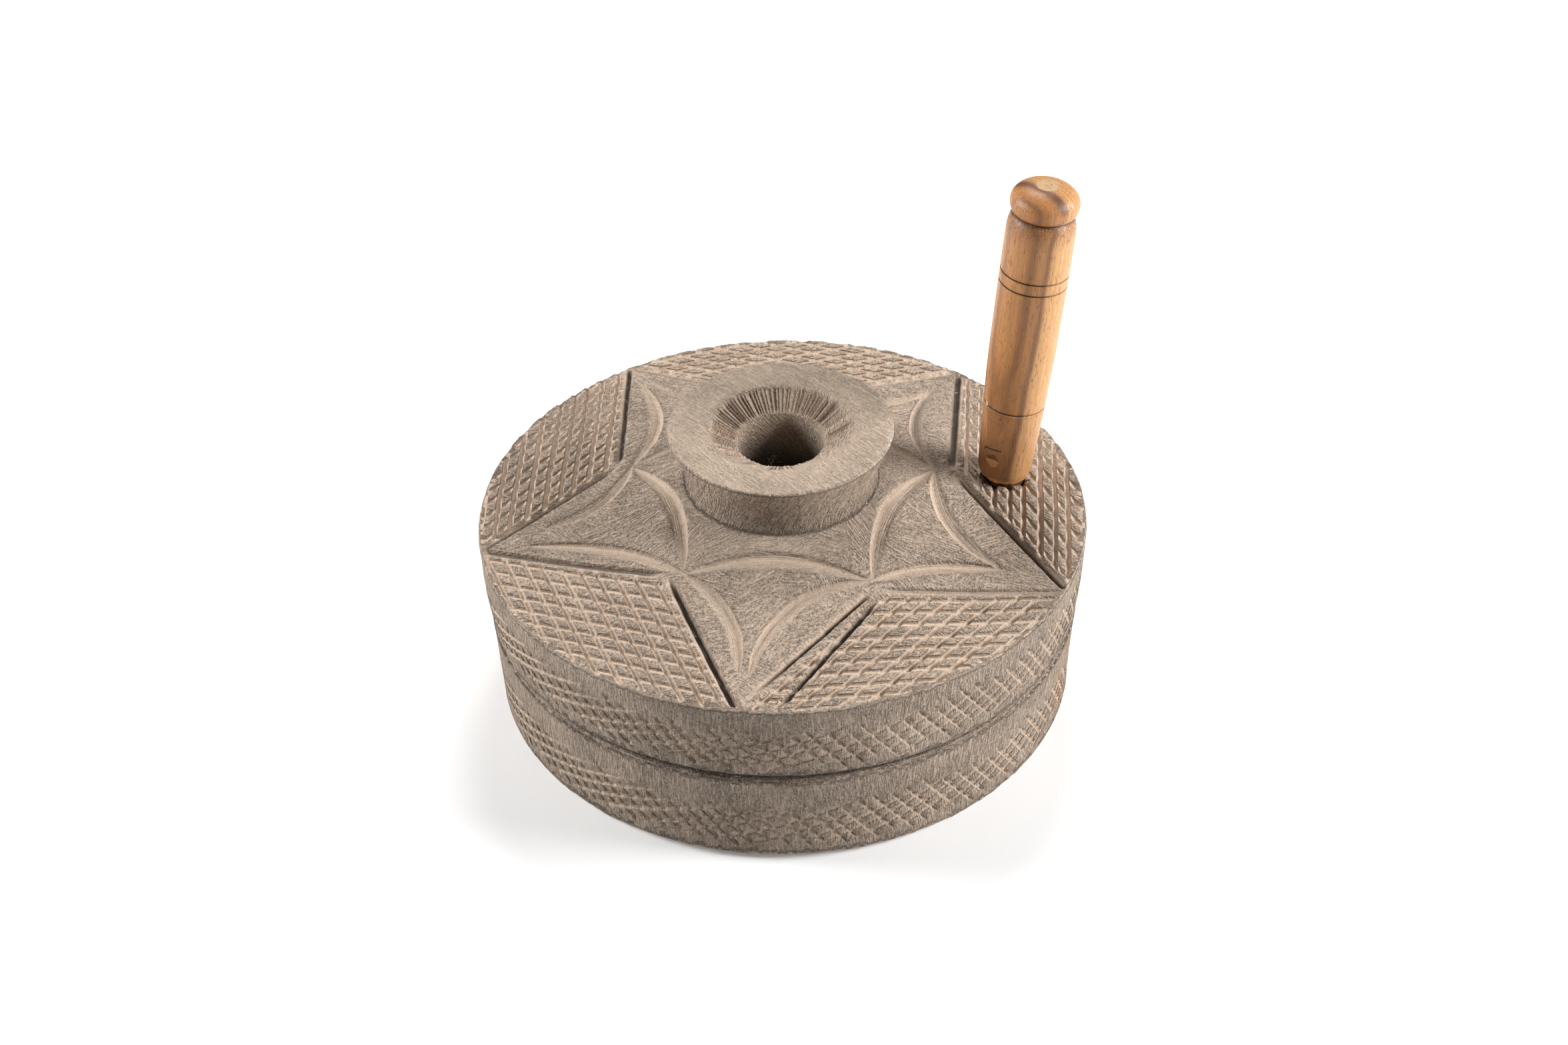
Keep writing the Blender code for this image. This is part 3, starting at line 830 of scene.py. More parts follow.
class Family:
    """Parallel strokes, numbered across, each a little off its even place."""

    def __init__(self, seed: int, count: int, stray: float, repeats: bool = False) -> None:
        """Sets each stroke's place and strength.

        Args:
            seed: the family's own number.
            count: how many strokes.
            stray: how far a stroke may be off its place, as a share of their spacing.
            repeats: whether the strokes go once round a wall.
        """
        random = np.random.default_rng(seed)
        self.count = count
        own = random.uniform(-stray, stray, count)
        self.strengths = random.uniform(0.78, 1.12, count)
        self.first_ends = random.uniform(-1.0, 1.0, count)
        self.second_ends = random.uniform(-1.0, 1.0, count)
        span = np.arange(-count, 2 * count) if repeats else np.arange(count)
        self.even = span.astype(float)
        self.true = self.even + own[span % count]

    def straightened(self, numbers: Array) -> Array:
        """Even numbers from true ones."""
        beyond = numbers - np.clip(numbers, self.true[0], self.true[-1])
        return np.interp(numbers, self.true, self.even) + beyond

    def strayed(self, numbers: Array) -> Array:
        """True numbers from even ones."""
        beyond = numbers - np.clip(numbers, self.even[0], self.even[-1])
        return np.interp(numbers, self.even, self.true) + beyond

    def of(self, values: Array, numbers: Array) -> Array:
        """Each stroke's own value for stroke numbers."""
        return values[numbers.astype(int) % self.count]


def gouge(distance: Array, half: float | Array) -> Array:
    """A rounded cut's share of full depth at a distance from its middle line."""
    return np.clip(1.0 - (np.abs(distance) / half) ** 3.0, 0.0, 1.0)


# The carved top of the runner


@dataclass(frozen=True)
class Slot:
    """A straight deep cut, steep on one side and with a sloping lip on the other."""

    start: Array
    end: Array
    depth: float
    lip: float
    side: float
    half: float = 0.0017
    run_in: float = 0.0130
    run_out: float = 0.0050

    @property
    def length(self) -> float:
        """The cut's length."""
        return float(lengths(self.end - self.start))

    @property
    def way(self) -> Array:
        """The cut's direction."""
        return (self.end - self.start) / self.length

    @property
    def bends(self) -> tuple[float, ...]:
        """How far across the cut its cross-section bends."""
        return -self.half, -self.half * 0.45, self.half * 0.45, self.half, self.lip

    def cut(self, places: Array, ripple: Ripple) -> tuple[Array, Array]:
        """The depth of the cut and how far it is in shade.

        Args:
            places: flat places.
            ripple: uneven edges.

        Returns:
            The depth, and a share for the dark of the slot.
        """
        offset = places - self.start
        along = offset @ self.way
        across = (offset[..., 1] * self.way[0] - offset[..., 0] * self.way[1]) * self.side
        across = across + ripple.at(places) * 0.0002
        shares = np.interp(across, self.bends, (0.0, 0.85, 1.0, 0.42, 0.0))
        ends = eased(along, -0.0010, self.run_in) * eased(self.length - along, -0.0005, self.run_out)
        dark = np.clip((self.half - np.abs(across)) / (self.half * 0.55), 0.0, 1.0) * ends
        return self.depth * shares * ends, dark * min(1.0, self.depth / 0.0030)

    def draw(self, plan: Plan, spacing: float, reach: float) -> None:
        """Adds the cut's lines to a plan, as far as a distance from the quern's axis.

        Args:
            plan: the plan.
            spacing: how far apart the lines' points are.
            reach: how far from the quern's axis they may be.
        """
        across = np.array([-self.way[1], self.way[0]]) * self.side
        steps = np.linspace(0.0, 1.0, int(self.length / spacing) + 1)[:, None]
        line = self.start + (self.end - self.start) * steps
        for offset in self.bends:
            inner = line[2:-2] + across * offset
            plan.chain(inner[lengths(inner) < reach])


@dataclass(frozen=True)
class Scoop:
    """A gouge along an arc: crisp on its outer side and sloping up on the inner side."""

    BENDS = (0.0, 0.07, 0.24, 0.60, 1.0)

    start: Array
    through: Array
    end: Array
    width: float = 0.0092
    depth: float = 0.0025
    shadow: float = 0.0

    def circle(self) -> tuple[Array, float, float, float]:
        """The arc's centre, radius, first angle and sweep."""
        one, two = self.through - self.start, self.end - self.start
        area = 2.0 * (one[0] * two[1] - one[1] * two[0])
        first, second = one @ one, two @ two
        offset = np.array([two[1] * first - one[1] * second, one[0] * second - two[0] * first]) / area
        centre = self.start + offset
        start = np.arctan2(*(self.start - centre)[::-1])
        last = np.arctan2(*(self.end - centre)[::-1])
        sweep = (last - start + pi) % (2.0 * pi) - pi
        return centre, float(lengths(offset)), float(start), float(sweep)

    def widths(self, share: Array) -> Array:
        """The gouge's width at shares of the arc."""
        return self.width * np.clip(np.sin(pi * np.clip(share, 0.0, 1.0)), 0.0, 1.0) ** 0.42

    def cut(self, places: Array, ripple: Ripple) -> tuple[Array, Array, Array, Array]:
        """The depth of the gouge, how smooth it is, how far in shade, and its place across.

        Args:
            places: flat places.
            ripple: uneven edges.

        Returns:
            One number of each for each place.
        """
        centre, radius, first, sweep = self.circle()
        offset = places - centre
        inwards = radius - lengths(offset) + ripple.at(places) * 0.00025
        turn = (np.arctan2(offset[..., 1], offset[..., 0]) - first + pi) % (2.0 * pi) - pi
        share = turn / sweep
        width = self.widths(share) + 1e-9
        across = inwards / width
        shares = np.interp(across, self.BENDS, (0.0, 0.66, 1.0, 0.52, 0.0))
        inside = (share > 0.0) & (share < 1.0) & (np.abs(offset).max(-1) < 2.0 * radius)
        depth = np.where(inside, self.depth * shares * width / self.width, 0.0)
        smooth = np.where(inside, eased(across, -0.02, 0.05) * eased(across, 1.02, 0.80), 0.0)
        line = eased(np.abs(across), 0.06, 0.02) * 0.30
        line = line + eased(across, 0.24, 0.36) * eased(across, 0.90, 0.60) * 0.22
        line = line + self.shadow * eased(across, 0.05, 0.20) * eased(across, 1.0, 0.6)
        return depth, smooth, np.where(inside, line * width / self.width, 0.0), np.where(inside, across, 0.0)

    def draw(self, plan: Plan, spacing: float, reach: float) -> None:
        """Adds the gouge's lines to a plan, as far as a distance from the quern's axis.

        Args:
            plan: the plan.
            spacing: how far apart the lines' points are.
            reach: how far from the quern's axis they may be.
        """
        centre, radius, first, sweep = self.circle()
        parts = int(abs(sweep) * radius / spacing)
        shares = np.linspace(0.0, 1.0, parts + 1)[1:-1]
        for across in self.BENDS:
            inwards = across * self.widths(shares)
            line = centre + polar(radius - inwards, first + sweep * shares)
            plan.chain(line[lengths(line) < reach])


@dataclass(frozen=True)
class StrokeStyle:
    """One family of strokes: how it meets the other, how deep and how wide it is."""

    stroke: Stroke
    depth: float
    width: float


@dataclass(frozen=True)
class HatchStyle:
    """The two families of a hatched field: parallel to its first edge and to its second."""

    first: StrokeStyle
    second: StrokeStyle


class Hatch:
    """The crossed strokes between two arms of the star, parallel to the edges that meet in a notch."""

    PARTS = (0.0, 0.105, 0.172, 0.207, 0.5, 0.793, 0.828, 0.895)

    def __init__(self, notch: Array, tips: tuple[Array, Array], pitch: float, styles: HatchStyle,
                 seed: int) -> None:
        """Lays the strokes out.

        Args:
            notch: the corner that the strokes are counted from.
            tips: the ends of the two edges that meet there.
            pitch: the distance between strokes.
            styles: what the strokes are like.
            seed: the field's own number.
        """
        self.notch = notch
        self.first, self.second = ((tip - notch) / lengths(tip - notch) for tip in tips)
        self.area = float(self.first[0] * self.second[1] - self.first[1] * self.second[0])
        self.pitch = pitch
        self.step = pitch / abs(self.area)
        self.styles = styles
        count = int(0.34 / pitch)
        self.along_first = Family(seed, count, 0.13)
        self.along_second = Family(seed + 1, count, 0.13)
        self.wobble = (Ripple(seed + 2, 0.017), Ripple(seed + 3, 0.0031))

    def stray(self, places: Array) -> Array:
        """How far strokes wander at places."""
        wander = self.wobble[0].at(places) * 0.00030 + self.wobble[1].at(places) * 0.00012
        return np.stack([wander, -wander], -1)

    def numbers(self, places: Array) -> tuple[Array, Array]:
        """How many strokes along each of the two edges places lie, evened out.

        Args:
            places: flat places.

        Returns:
            The numbers along the first edge and along the second.
        """
        offset = (places + self.stray(places) - self.notch) / self.step
        along_first = (offset[..., 0] * self.second[1] - offset[..., 1] * self.second[0]) / self.area
        along_second = (self.first[0] * offset[..., 1] - self.first[1] * offset[..., 0]) / self.area
        return self.along_second.straightened(along_first), self.along_first.straightened(along_second)

    def draw(self, plan: Plan, reach: float, clear_of: Callable[[Array], Array]) -> None:
        """Adds the strokes' edges and middles to a plan.

        Args:
            plan: the plan.
            reach: how far from the quern's axis they may be.
            clear_of: how far places are from the socket's mouth.
        """
        numbers = (np.arange(self.along_first.count)[:, None] + np.array(self.PARTS)).ravel()[4:]
        one, two = np.meshgrid(numbers, numbers)
        tied = (one > 0.7) & (two > 0.7)
        one, two = self.along_second.strayed(one), self.along_first.strayed(two)
        places = self.notch + (self.first * one[..., None] + self.second * two[..., None]) * self.step
        places = places - self.stray(places)
        clear = clear_of(places)
        plan.net(places, (lengths(places) < reach) & (clear > 0.0006), tied & (clear > 0.0024))

    def family_cut(self, family: Family, across: Array, along: Array,
                   style: StrokeStyle) -> tuple[Array, Array]:
        """The depth of one family's strokes.

        Args:
            family: the strokes.
            across: the places' numbers across the strokes.
            along: their numbers along them.
            style: what the strokes are like.

        Returns:
            The depth, and how far a place is inside a stroke.
        """
        near = np.maximum(np.round(across), 1.0)
        start = 0.62 + 0.22 * family.of(family.first_ends, near)
        beyond = np.maximum(0.0, start - along) * self.step
        distance = np.hypot((across - near) * self.pitch, beyond)
        strength = family.of(family.strengths, near)
        half = style.width / 2.0 * (0.9 + 0.1 * strength)
        share = gouge(distance, half) * eased(along, start - 0.5, start + 0.5)
        return style.depth * strength * share * style.stroke.share(along), np.clip(share * 2.5, 0.0, 1.0)

    def cut(self, places: Array) -> tuple[Array, Array]:
        """The depth of the strokes and how much of it is smooth.

        Args:
            places: flat places.

        Returns:
            The depth and the smooth share.
        """
        one, two = self.numbers(places)
        inside = (one > 0.2) & (two > 0.2)
        first = self.family_cut(self.along_first, two, one, self.styles.first)
        second = self.family_cut(self.along_second, one, two, self.styles.second)
        depth = np.where(inside, np.maximum(first[0], second[0]), 0.0)
        return depth, np.where(inside, np.maximum(first[1], second[1]), 0.0)


@dataclass
class TopCarving:
    """Everything that is cut into the runner's top: the star, its arcs and the hatched fields."""

    radius: float
    tips: Pairs = ((-98.7, 0.97), (-27.1, 0.985), (50.5, 0.975), (122.3, 0.975), (190.9, 0.975))
    notches: Pairs = ((-59.8, 0.567), (12.3, 0.578), (86.0, 0.572), (160.4, 0.573), (227.9, 0.542))
    slot_depths: Pairs = (
        (0.0038, 0.0014), (0.0036, 0.0034), (0.0024, 0.0024), (0.0036, 0.0026), (0.0024, 0.0046))
    lip_sides: Pairs = ((-1.0, -1.0), *((1.0, -1.0),) * 4)
    run_outs: Pairs = ((0.0450, 0.0050), *((0.0050, 0.0050),) * 4)
    halves: Pairs = (
        (0.0017, 0.0017), (0.0021, 0.0025), (0.0017, 0.0017), (0.0017, 0.0017), (0.0017, 0.0018))
    arc_shadows: tuple[float, ...] = (0.0, 0.0, 0.45, 0.20, 0.10)
    slot_reach: float = 1.02
    lip: float = 0.0040
    nodes: Pairs = ((-58.7, 0.53), (13.2, 0.518), (86.0, 0.525), (161.0, 0.522), (232.0, 0.511))
    hub_arcs: Pairs = ((-89.9, 0.372), (-32.3, 0.356), (49.0, 0.36), (123.0, 0.36), (-153.2, 0.350))
    first_arcs: tuple[tuple[float, float, float, float], ...] = (
        (-107.6, 0.571, -99.7, 0.845), (-36.4, 0.593, -26.7, 0.805), (45.6, 0.632, 51.4, 0.880),
        (114.5, 0.600, 122.0, 0.870), (178.6, 0.545, 187.5, 0.780))
    second_arcs: tuple[tuple[float, float, float, float], ...] = (
        (-89.2, 0.555, -97.8, 0.850), (-17.0, 0.533, -27.9, 0.785), (57.5, 0.600, 50.0, 0.870),
        (129.4, 0.630, 123.4, 0.885), (200.6, 0.618, 192.2, 0.845))
    pitch: float = 0.0078
    extra_start: tuple[float, float] = (0.302, -0.512)
    extra_end: tuple[float, float] = (-0.032, -0.985)
    spacing: float = 0.0013
    styles: tuple[HatchStyle, ...] = (
        HatchStyle(StrokeStyle(Stroke.BEADED, 0.0027, 0.0031), StrokeStyle(Stroke.EVEN, 0.0014, 0.0030)),
        HatchStyle(StrokeStyle(Stroke.BEADED, 0.0019, 0.0030), StrokeStyle(Stroke.KNOTTED, 0.0026, 0.0033)),
        HatchStyle(StrokeStyle(Stroke.EVEN, 0.0019, 0.0031), StrokeStyle(Stroke.BEADED, 0.0019, 0.0031)),
        HatchStyle(StrokeStyle(Stroke.KNOTTED, 0.0029, 0.0033), StrokeStyle(Stroke.BEADED, 0.0019, 0.0030)),
        HatchStyle(StrokeStyle(Stroke.EVEN, 0.0013, 0.0029), StrokeStyle(Stroke.KNOTTED, 0.0025, 0.0030)),
    )

    def __post_init__(self) -> None:
        """Works out the slots, the scoops and the hatches."""
        tips = [self.spot(*tip) for tip in self.tips]
        nodes = [self.spot(*node) for node in self.nodes]
        self.slots: list[Slot] = []
        self.scoops: list[Scoop] = []
        self.hatches: list[Hatch] = []
        for number, place in enumerate(self.notches):
            notch = self.spot(*place)
            ends = (tips[number], tips[(number + 1) % len(tips)])
            for side, end in enumerate(ends):
                self.slots.append(Slot(
                    notch, end * self.slot_reach, self.slot_depths[number][side], self.lip,
                    self.lip_sides[number][side], self.halves[number][side],
                    run_out=self.run_outs[number][side]))
            self.hatches.append(Hatch(notch, ends, self.pitch, self.styles[number], 10 * number + 5))
            before, after = nodes[number - 1], nodes[number]
            self.scoops.append(Scoop(before, self.spot(*self.hub_arcs[number]), after))
            sides = ((before, self.first_arcs, self.arc_shadows[number]), (after, self.second_arcs, 0.0))
            for node, arcs, shadow in sides:
                through, end = self.spot(*arcs[number][:2]), self.spot(*arcs[number][2:])
                self.scoops.append(Scoop(node, through, end, shadow=shadow))
        ends = (np.array(end) * self.radius for end in (self.extra_start, self.extra_end))
        self.slots.append(Slot(*ends, 0.0042, 0.0026, 1.0, 0.0015, run_out=0.0120))
        self.ragged = Ripple(77, 0.0045)
        self.rolling = (Ripple(78, 0.024), Ripple(79, 0.0065))

    def spot(self, angle: float, share: float) -> Array:
        """The flat place at an angle in degrees and a share of the radius."""
        return polar(share * self.radius, radians(angle))

    def cut(self, places: Array) -> tuple[Array, Marks]:
        """How deep the top is cut at flat places, and the marks for its finish.

        Args:
            places: flat places.

        Returns:
            The depth and the marks.
        """
        depth, smooth, dark, groove = np.zeros((4, *places.shape[:-1]))
        for hatch in self.hatches:
            own, inside = hatch.cut(places)
            depth = np.maximum(depth, own)
            smooth = np.maximum(smooth, inside)
        for scoop in self.scoops:
            own, inside, shade, across = scoop.cut(places, self.ragged)
            groove = np.where(own > depth, across, groove)
            depth = np.maximum(depth, own)
            smooth = np.maximum(smooth, inside * 0.9)
            dark = np.maximum(dark, shade)
        for slot in self.slots:
            own, shade = slot.cut(places, self.ragged)
            depth = np.maximum(depth, own)
            smooth = np.maximum(smooth, np.clip(own / 0.0008, 0.0, 1.0))
            dark = np.maximum(dark, shade)
        rolling = sunk(self.rolling, (0.00018, 0.00008), places)
        # Painted light: the ground just in front of the hub ('front') is made paler, against the shade that
        # falls there.
        apron = eased(lengths(places), 0.075, 0.050)
        front = apron * np.clip(-places[..., 1] / lengths(places), 0.0, 1.0)
        right = apron * np.clip(places[..., 0] / lengths(places), 0.0, 1.0) ** 2
        shine = eased(groove, 0.07, 0.13) * eased(groove, 0.60, 0.30) * (1.0 - np.clip(dark * 2.0, 0.0, 1.0))
        # Painted shade in the 'deep' mark: the slots' and gouges' dark, and a painted shadow on the ground
        # right of the hub ('right').
        return depth + rolling, {
            "cut": smooth, "deep": np.maximum(dark, right * 0.35), "loose": np.ones_like(depth),
            "groove": groove, "pale": np.maximum(front * 1.3, shine)}

    def draw(self, plan: Plan, clear_of: Callable[[Array], Array]) -> None:
        """Adds the lines of the slots, the scoops and the hatches to a plan.

        Args:
            plan: the plan.
            clear_of: how far places are from the socket's mouth.
        """
        reach = self.radius - self.spacing * 1.6
        for part in self.slots + self.scoops:
            part.draw(plan, self.spacing, reach)
        for hatch in self.hatches:
            hatch.draw(plan, reach, clear_of)

    def in_hatch(self, places: Array) -> Array:
        """Whether places are in a hatched field, where the strokes set the mesh's points.

        Args:
            places: flat places.

        Returns:
            True or false for each place.
        """
        inside = np.zeros(len(places), bool)
        for hatch in self.hatches:
            one, two = hatch.numbers(places)
            inside |= (one > 0.55) & (two > 0.55)
        return inside


# The hatched walls


@dataclass
class WallCarving:
    """The crossed strokes round a wall laid out flat: x runs round it and y is its height."""

    radius: float
    low: float
    height: float
    seed: int
    long_count: int = 50
    steep_count: int = 108
    long_slope: float = radians(20.0)
    steep_slope: float = radians(53.0)
    long_style: StrokeStyle = StrokeStyle(Stroke.KNOTTED, 0.0018, 0.0027)
    steep_style: StrokeStyle = StrokeStyle(Stroke.BEADED, 0.0024, 0.0028)
    parts: tuple[float, ...] = (0.0, 0.165, 0.215, 0.5, 0.785, 0.835)
    spread: float = 0.0032

    def __post_init__(self) -> None:
        """Sets the strokes out."""
        self.length = 2.0 * pi * self.radius
        self.middle = self.low + self.height / 2.0
        self.half = self.height / 2.0
        self.steps = (self.length / self.long_count, self.length / self.steep_count)
        self.long = Family(self.seed, self.long_count, 0.14, True)
        self.steep = Family(self.seed + 1, self.steep_count, 0.15, True)
        self.fade = Ripple(self.seed + 2, 0.050, self.length)
        self.rolling = (Ripple(self.seed + 3, 0.026, self.length), Ripple(self.seed + 4, 0.007, self.length))

    def numbers(self, places: Array) -> tuple[Array, Array]:
        """The long and the steep stroke, evened out, that run through places.

        Args:
            places: places laid flat.

        Returns:
            The long strokes' numbers and the steep strokes'.
        """
        up = places[..., 1] - self.middle
        long = (places[..., 0] - up / tan(self.long_slope)) / self.steps[0]
        steep = (places[..., 0] + up / tan(self.steep_slope)) / self.steps[1]
        return self.long.straightened(long), self.steep.straightened(steep)

    def draw(self, plan: Plan, spare: float, low: float, high: float) -> None:
        """Adds the strokes' edges and middles to a plan.

        Args:
            plan: the plan.
            spare: how far past each end of the wall laid out flat they go.
            low: the lowest height they may have.
            high: the highest.
        """
        reach = [int(spare / step) + 5 for step in self.steps]
        long = (np.arange(-reach[0], self.long_count + reach[0])[:, None] + np.array(self.parts)).ravel()
        steep = (np.arange(-reach[1], self.steep_count + reach[1])[:, None] + np.array(self.parts)).ravel()
        long, steep = np.meshgrid(long, steep)
        along_long = self.long.strayed(long) * self.steps[0]
        along_steep = self.steep.strayed(steep) * self.steps[1]
        rise, fall = tan(self.long_slope), tan(self.steep_slope)
        x = (rise * along_long + fall * along_steep) / (rise + fall)
        up = rise * fall * (along_steep - along_long) / (rise + fall)
        wanted = (np.abs(up) < self.half + self.spread) & (x > -spare) & (x < self.length + spare)
        height = self.middle + up
        wanted &= (height > low) & (height < high)
        plan.net(np.stack([x, height], -1), wanted, wanted)

    def family_cut(self, family: Family, across: Array, along: Array, up: Array, slope: float, step: float,
                   style: StrokeStyle) -> tuple[Array, Array]:
        """The depth of one family's strokes.

        Args:
            family: the strokes.
            across: the places' numbers across the strokes.
            along: their numbers along them, in crossings.
            up: their heights above the band's middle.
            slope: how steep the strokes are.
            step: their spacing round the wall.
            style: what the strokes are like.

        Returns:
            The depth, and how far a place is inside a stroke.
        """
        near = np.round(across)
        top = self.half - self.spread * 0.5 + self.spread * family.of(family.first_ends, near)
        foot = self.half - self.spread * 0.5 + self.spread * family.of(family.second_ends, near)
        beyond = np.maximum(0.0, np.maximum(up - top, -foot - up)) / sin(slope)
        distance = np.hypot((across - near) * step * sin(slope), beyond)
        strength = family.of(family.strengths, near)
        taper = eased(top - up, -0.0015, 0.0060) * eased(foot + up, -0.0015, 0.0045)
        share = gouge(distance, style.width / 2.0 * (0.75 + 0.25 * taper))
        depth = style.depth * strength * share * (0.35 + 0.65 * taper) * style.stroke.share(along)
        return depth, np.clip(share * 2.5, 0.0, 1.0) * (0.4 + 0.6 * taper)

    def cut(self, places: Array) -> tuple[Array, Marks]:
        """How deep the wall is cut at places laid flat, and the marks for its finish.

        Args:
            places: places laid flat.

        Returns:
            The depth and the marks.
        """
        long, steep = self.numbers(places)
        up = places[..., 1] - self.middle
        first = self.family_cut(
            self.long, long, steep, up, self.long_slope, self.steps[0], self.long_style)
        second = self.family_cut(
            self.steep, steep, long, up, self.steep_slope, self.steps[1], self.steep_style)
        uneven = 0.78 + 0.30 * self.fade.at(places)
        depth = np.maximum(first[0] * uneven, second[0])
        rolling = sunk(self.rolling, (0.00022, 0.00008), places)
        smooth = np.maximum(first[1] * uneven, second[1])
        level = np.full_like(depth, 0.5)
        # Painted shade: the 'deep' mark darkens the wall a little all over, and more on the rough stone
        # between the strokes.
        return depth + rolling, {
            "cut": smooth * 0.85, "lay": level, "loose": level * 0.3, "deep": (1.0 - smooth) * 0.14 + 0.14}


@dataclass
class Wall:
    """A stone's wall between two heights, carved and rolled up."""

    carving: WallCarving
    foot: float
    top: float
    radius_at: Callable[[Array], Array]
    bite: Callable[[Array], Array]
    columns: int = 720
    plain_spacing: float = 0.0021

    def patch(self, drop: Callable[[Array], Array], base: float) -> Patch:
        """Builds the wall.

        Args:
            drop: how far the wall's top edge is cut down at places round it.
            base: the height of the stone's underside.

        Returns:
            The wall's patch.
        """
        carving = self.carving
        step = carving.length / self.columns
        extra = 24
        spare = extra * step
        plan = Plan(self.plain_spacing * 0.33)
        run = np.arange(-extra, self.columns + extra + 1) * step
        for height in (self.foot, self.top):
            plan.chain(np.stack([run, np.full_like(run, height)], -1))
        inner = [self.foot + self.plain_spacing * 0.5, self.top - self.plain_spacing * 0.5]
        carving.draw(plan, spare, *inner)

        def plain(places: Array) -> Array:
            heights = places[:, 1]
            outside = np.abs(heights - carving.middle) > carving.half + carving.spread
            return outside & (heights > inner[0]) & (heights < inner[1])

        spacing = carving.length / round(carving.length / self.plain_spacing)
        plan.grid((-spare, self.foot), (carving.length + spare, self.top), spacing, plain)
        nudge = step * 0.01
        points, faces = plan.triangles(
            lambda middles: (middles[:, 0] > -nudge) & (middles[:, 0] < carving.length - nudge))
        depth, marks = carving.cut(points)
        angles = points[:, 0] / carving.radius
        by_edges = eased(self.top - points[:, 1], 0.0, 0.0015) * eased(points[:, 1] - self.foot, 0.0, 0.0015)
        bitten = self.bite(angles) * eased(points[:, 1], self.foot + 0.0045, self.foot)
        radii = self.radius_at(points[:, 1]) - depth * by_edges - bitten
        heights = points[:, 1] - drop(angles) * eased(points[:, 1], self.top - 0.006, self.top)
        places = np.column_stack([polar(radii, angles), heights + base])
        return Patch(places, faces, points.copy(), marks)


def ring_patch(rows: list[tuple[Array, Array]], angles: Array, base: float,
               marks: Marks | None = None) -> Patch:
    """A band of quads between rings.

    Args:
        rows: each ring's radii and heights, one for each angle.
        angles: the angles, the first repeated at the end.
        base: the height that the rings' heights count from.
        marks: rows × columns numbers for the finish.

    Returns:
        The patch.
    """
    radii = np.array([row[0] for row in rows])
    heights = np.array([row[1] for row in rows])
    places = turned(radii, heights + base, angles)
    steps = np.hypot(np.diff(radii, axis=0), np.diff(heights, axis=0)).mean(1)
    lengthwise = np.concatenate([[0.0], np.cumsum(steps)])
    around = angles * float(radii.mean())
    sheet = np.stack(np.broadcast_arrays(around[None, :], lengthwise[:, None]), -1)
    return woven(places, sheet, marks)


def fan_patch(ring: Array, marks: dict[str, float]) -> Patch:
    """Triangles from a ring of places to its middle, each mark the same all over.

    Args:
        ring: the ring's places.
        marks: one number under each mark's name.

    Returns:
        The patch.
    """
    places = np.vstack([ring, ring.mean(0)])
    numbers = np.arange(len(ring))
    faces = np.column_stack([numbers, (numbers + 1) % len(ring), np.full_like(numbers, len(ring))])
    even = {name: np.full(len(places), value) for name, value in marks.items()}
    return Patch(places, faces, places[:, :2].copy(), even)


def disc_patch(outer: float, columns: int, height: float, inner: float = 0.0,
               inner_columns: int = 0) -> Patch:
    """A flat disc, or a flat ring round a hole.

    Args:
        outer: its outer radius.
        columns: how many points are on its outer edge.
        height: its height.
        inner: the hole's radius, or 0.
        inner_columns: how many points are on the hole's edge.

    Returns:
        The patch.
    """
    spacing = 0.012
    plan = Plan(spacing * 0.4)
    plan.chain(polar(outer, round_angles(columns)[:-1]), True)
    if inner:
        plan.chain(polar(inner, round_angles(inner_columns)[:-1]), True)
    plan.grid((-outer, -outer), (outer, outer), spacing,
              lambda places: (lengths(places) < outer - spacing * 0.5) & (lengths(places) >= inner))
    hole = inner * cos(pi / max(1, inner_columns)) if inner else -1.0
    points, faces = plan.triangles(lambda middles: lengths(middles) > hole)
    return Patch(np.column_stack([points, np.full(len(points), height)]), faces, points.copy())


# The two stones


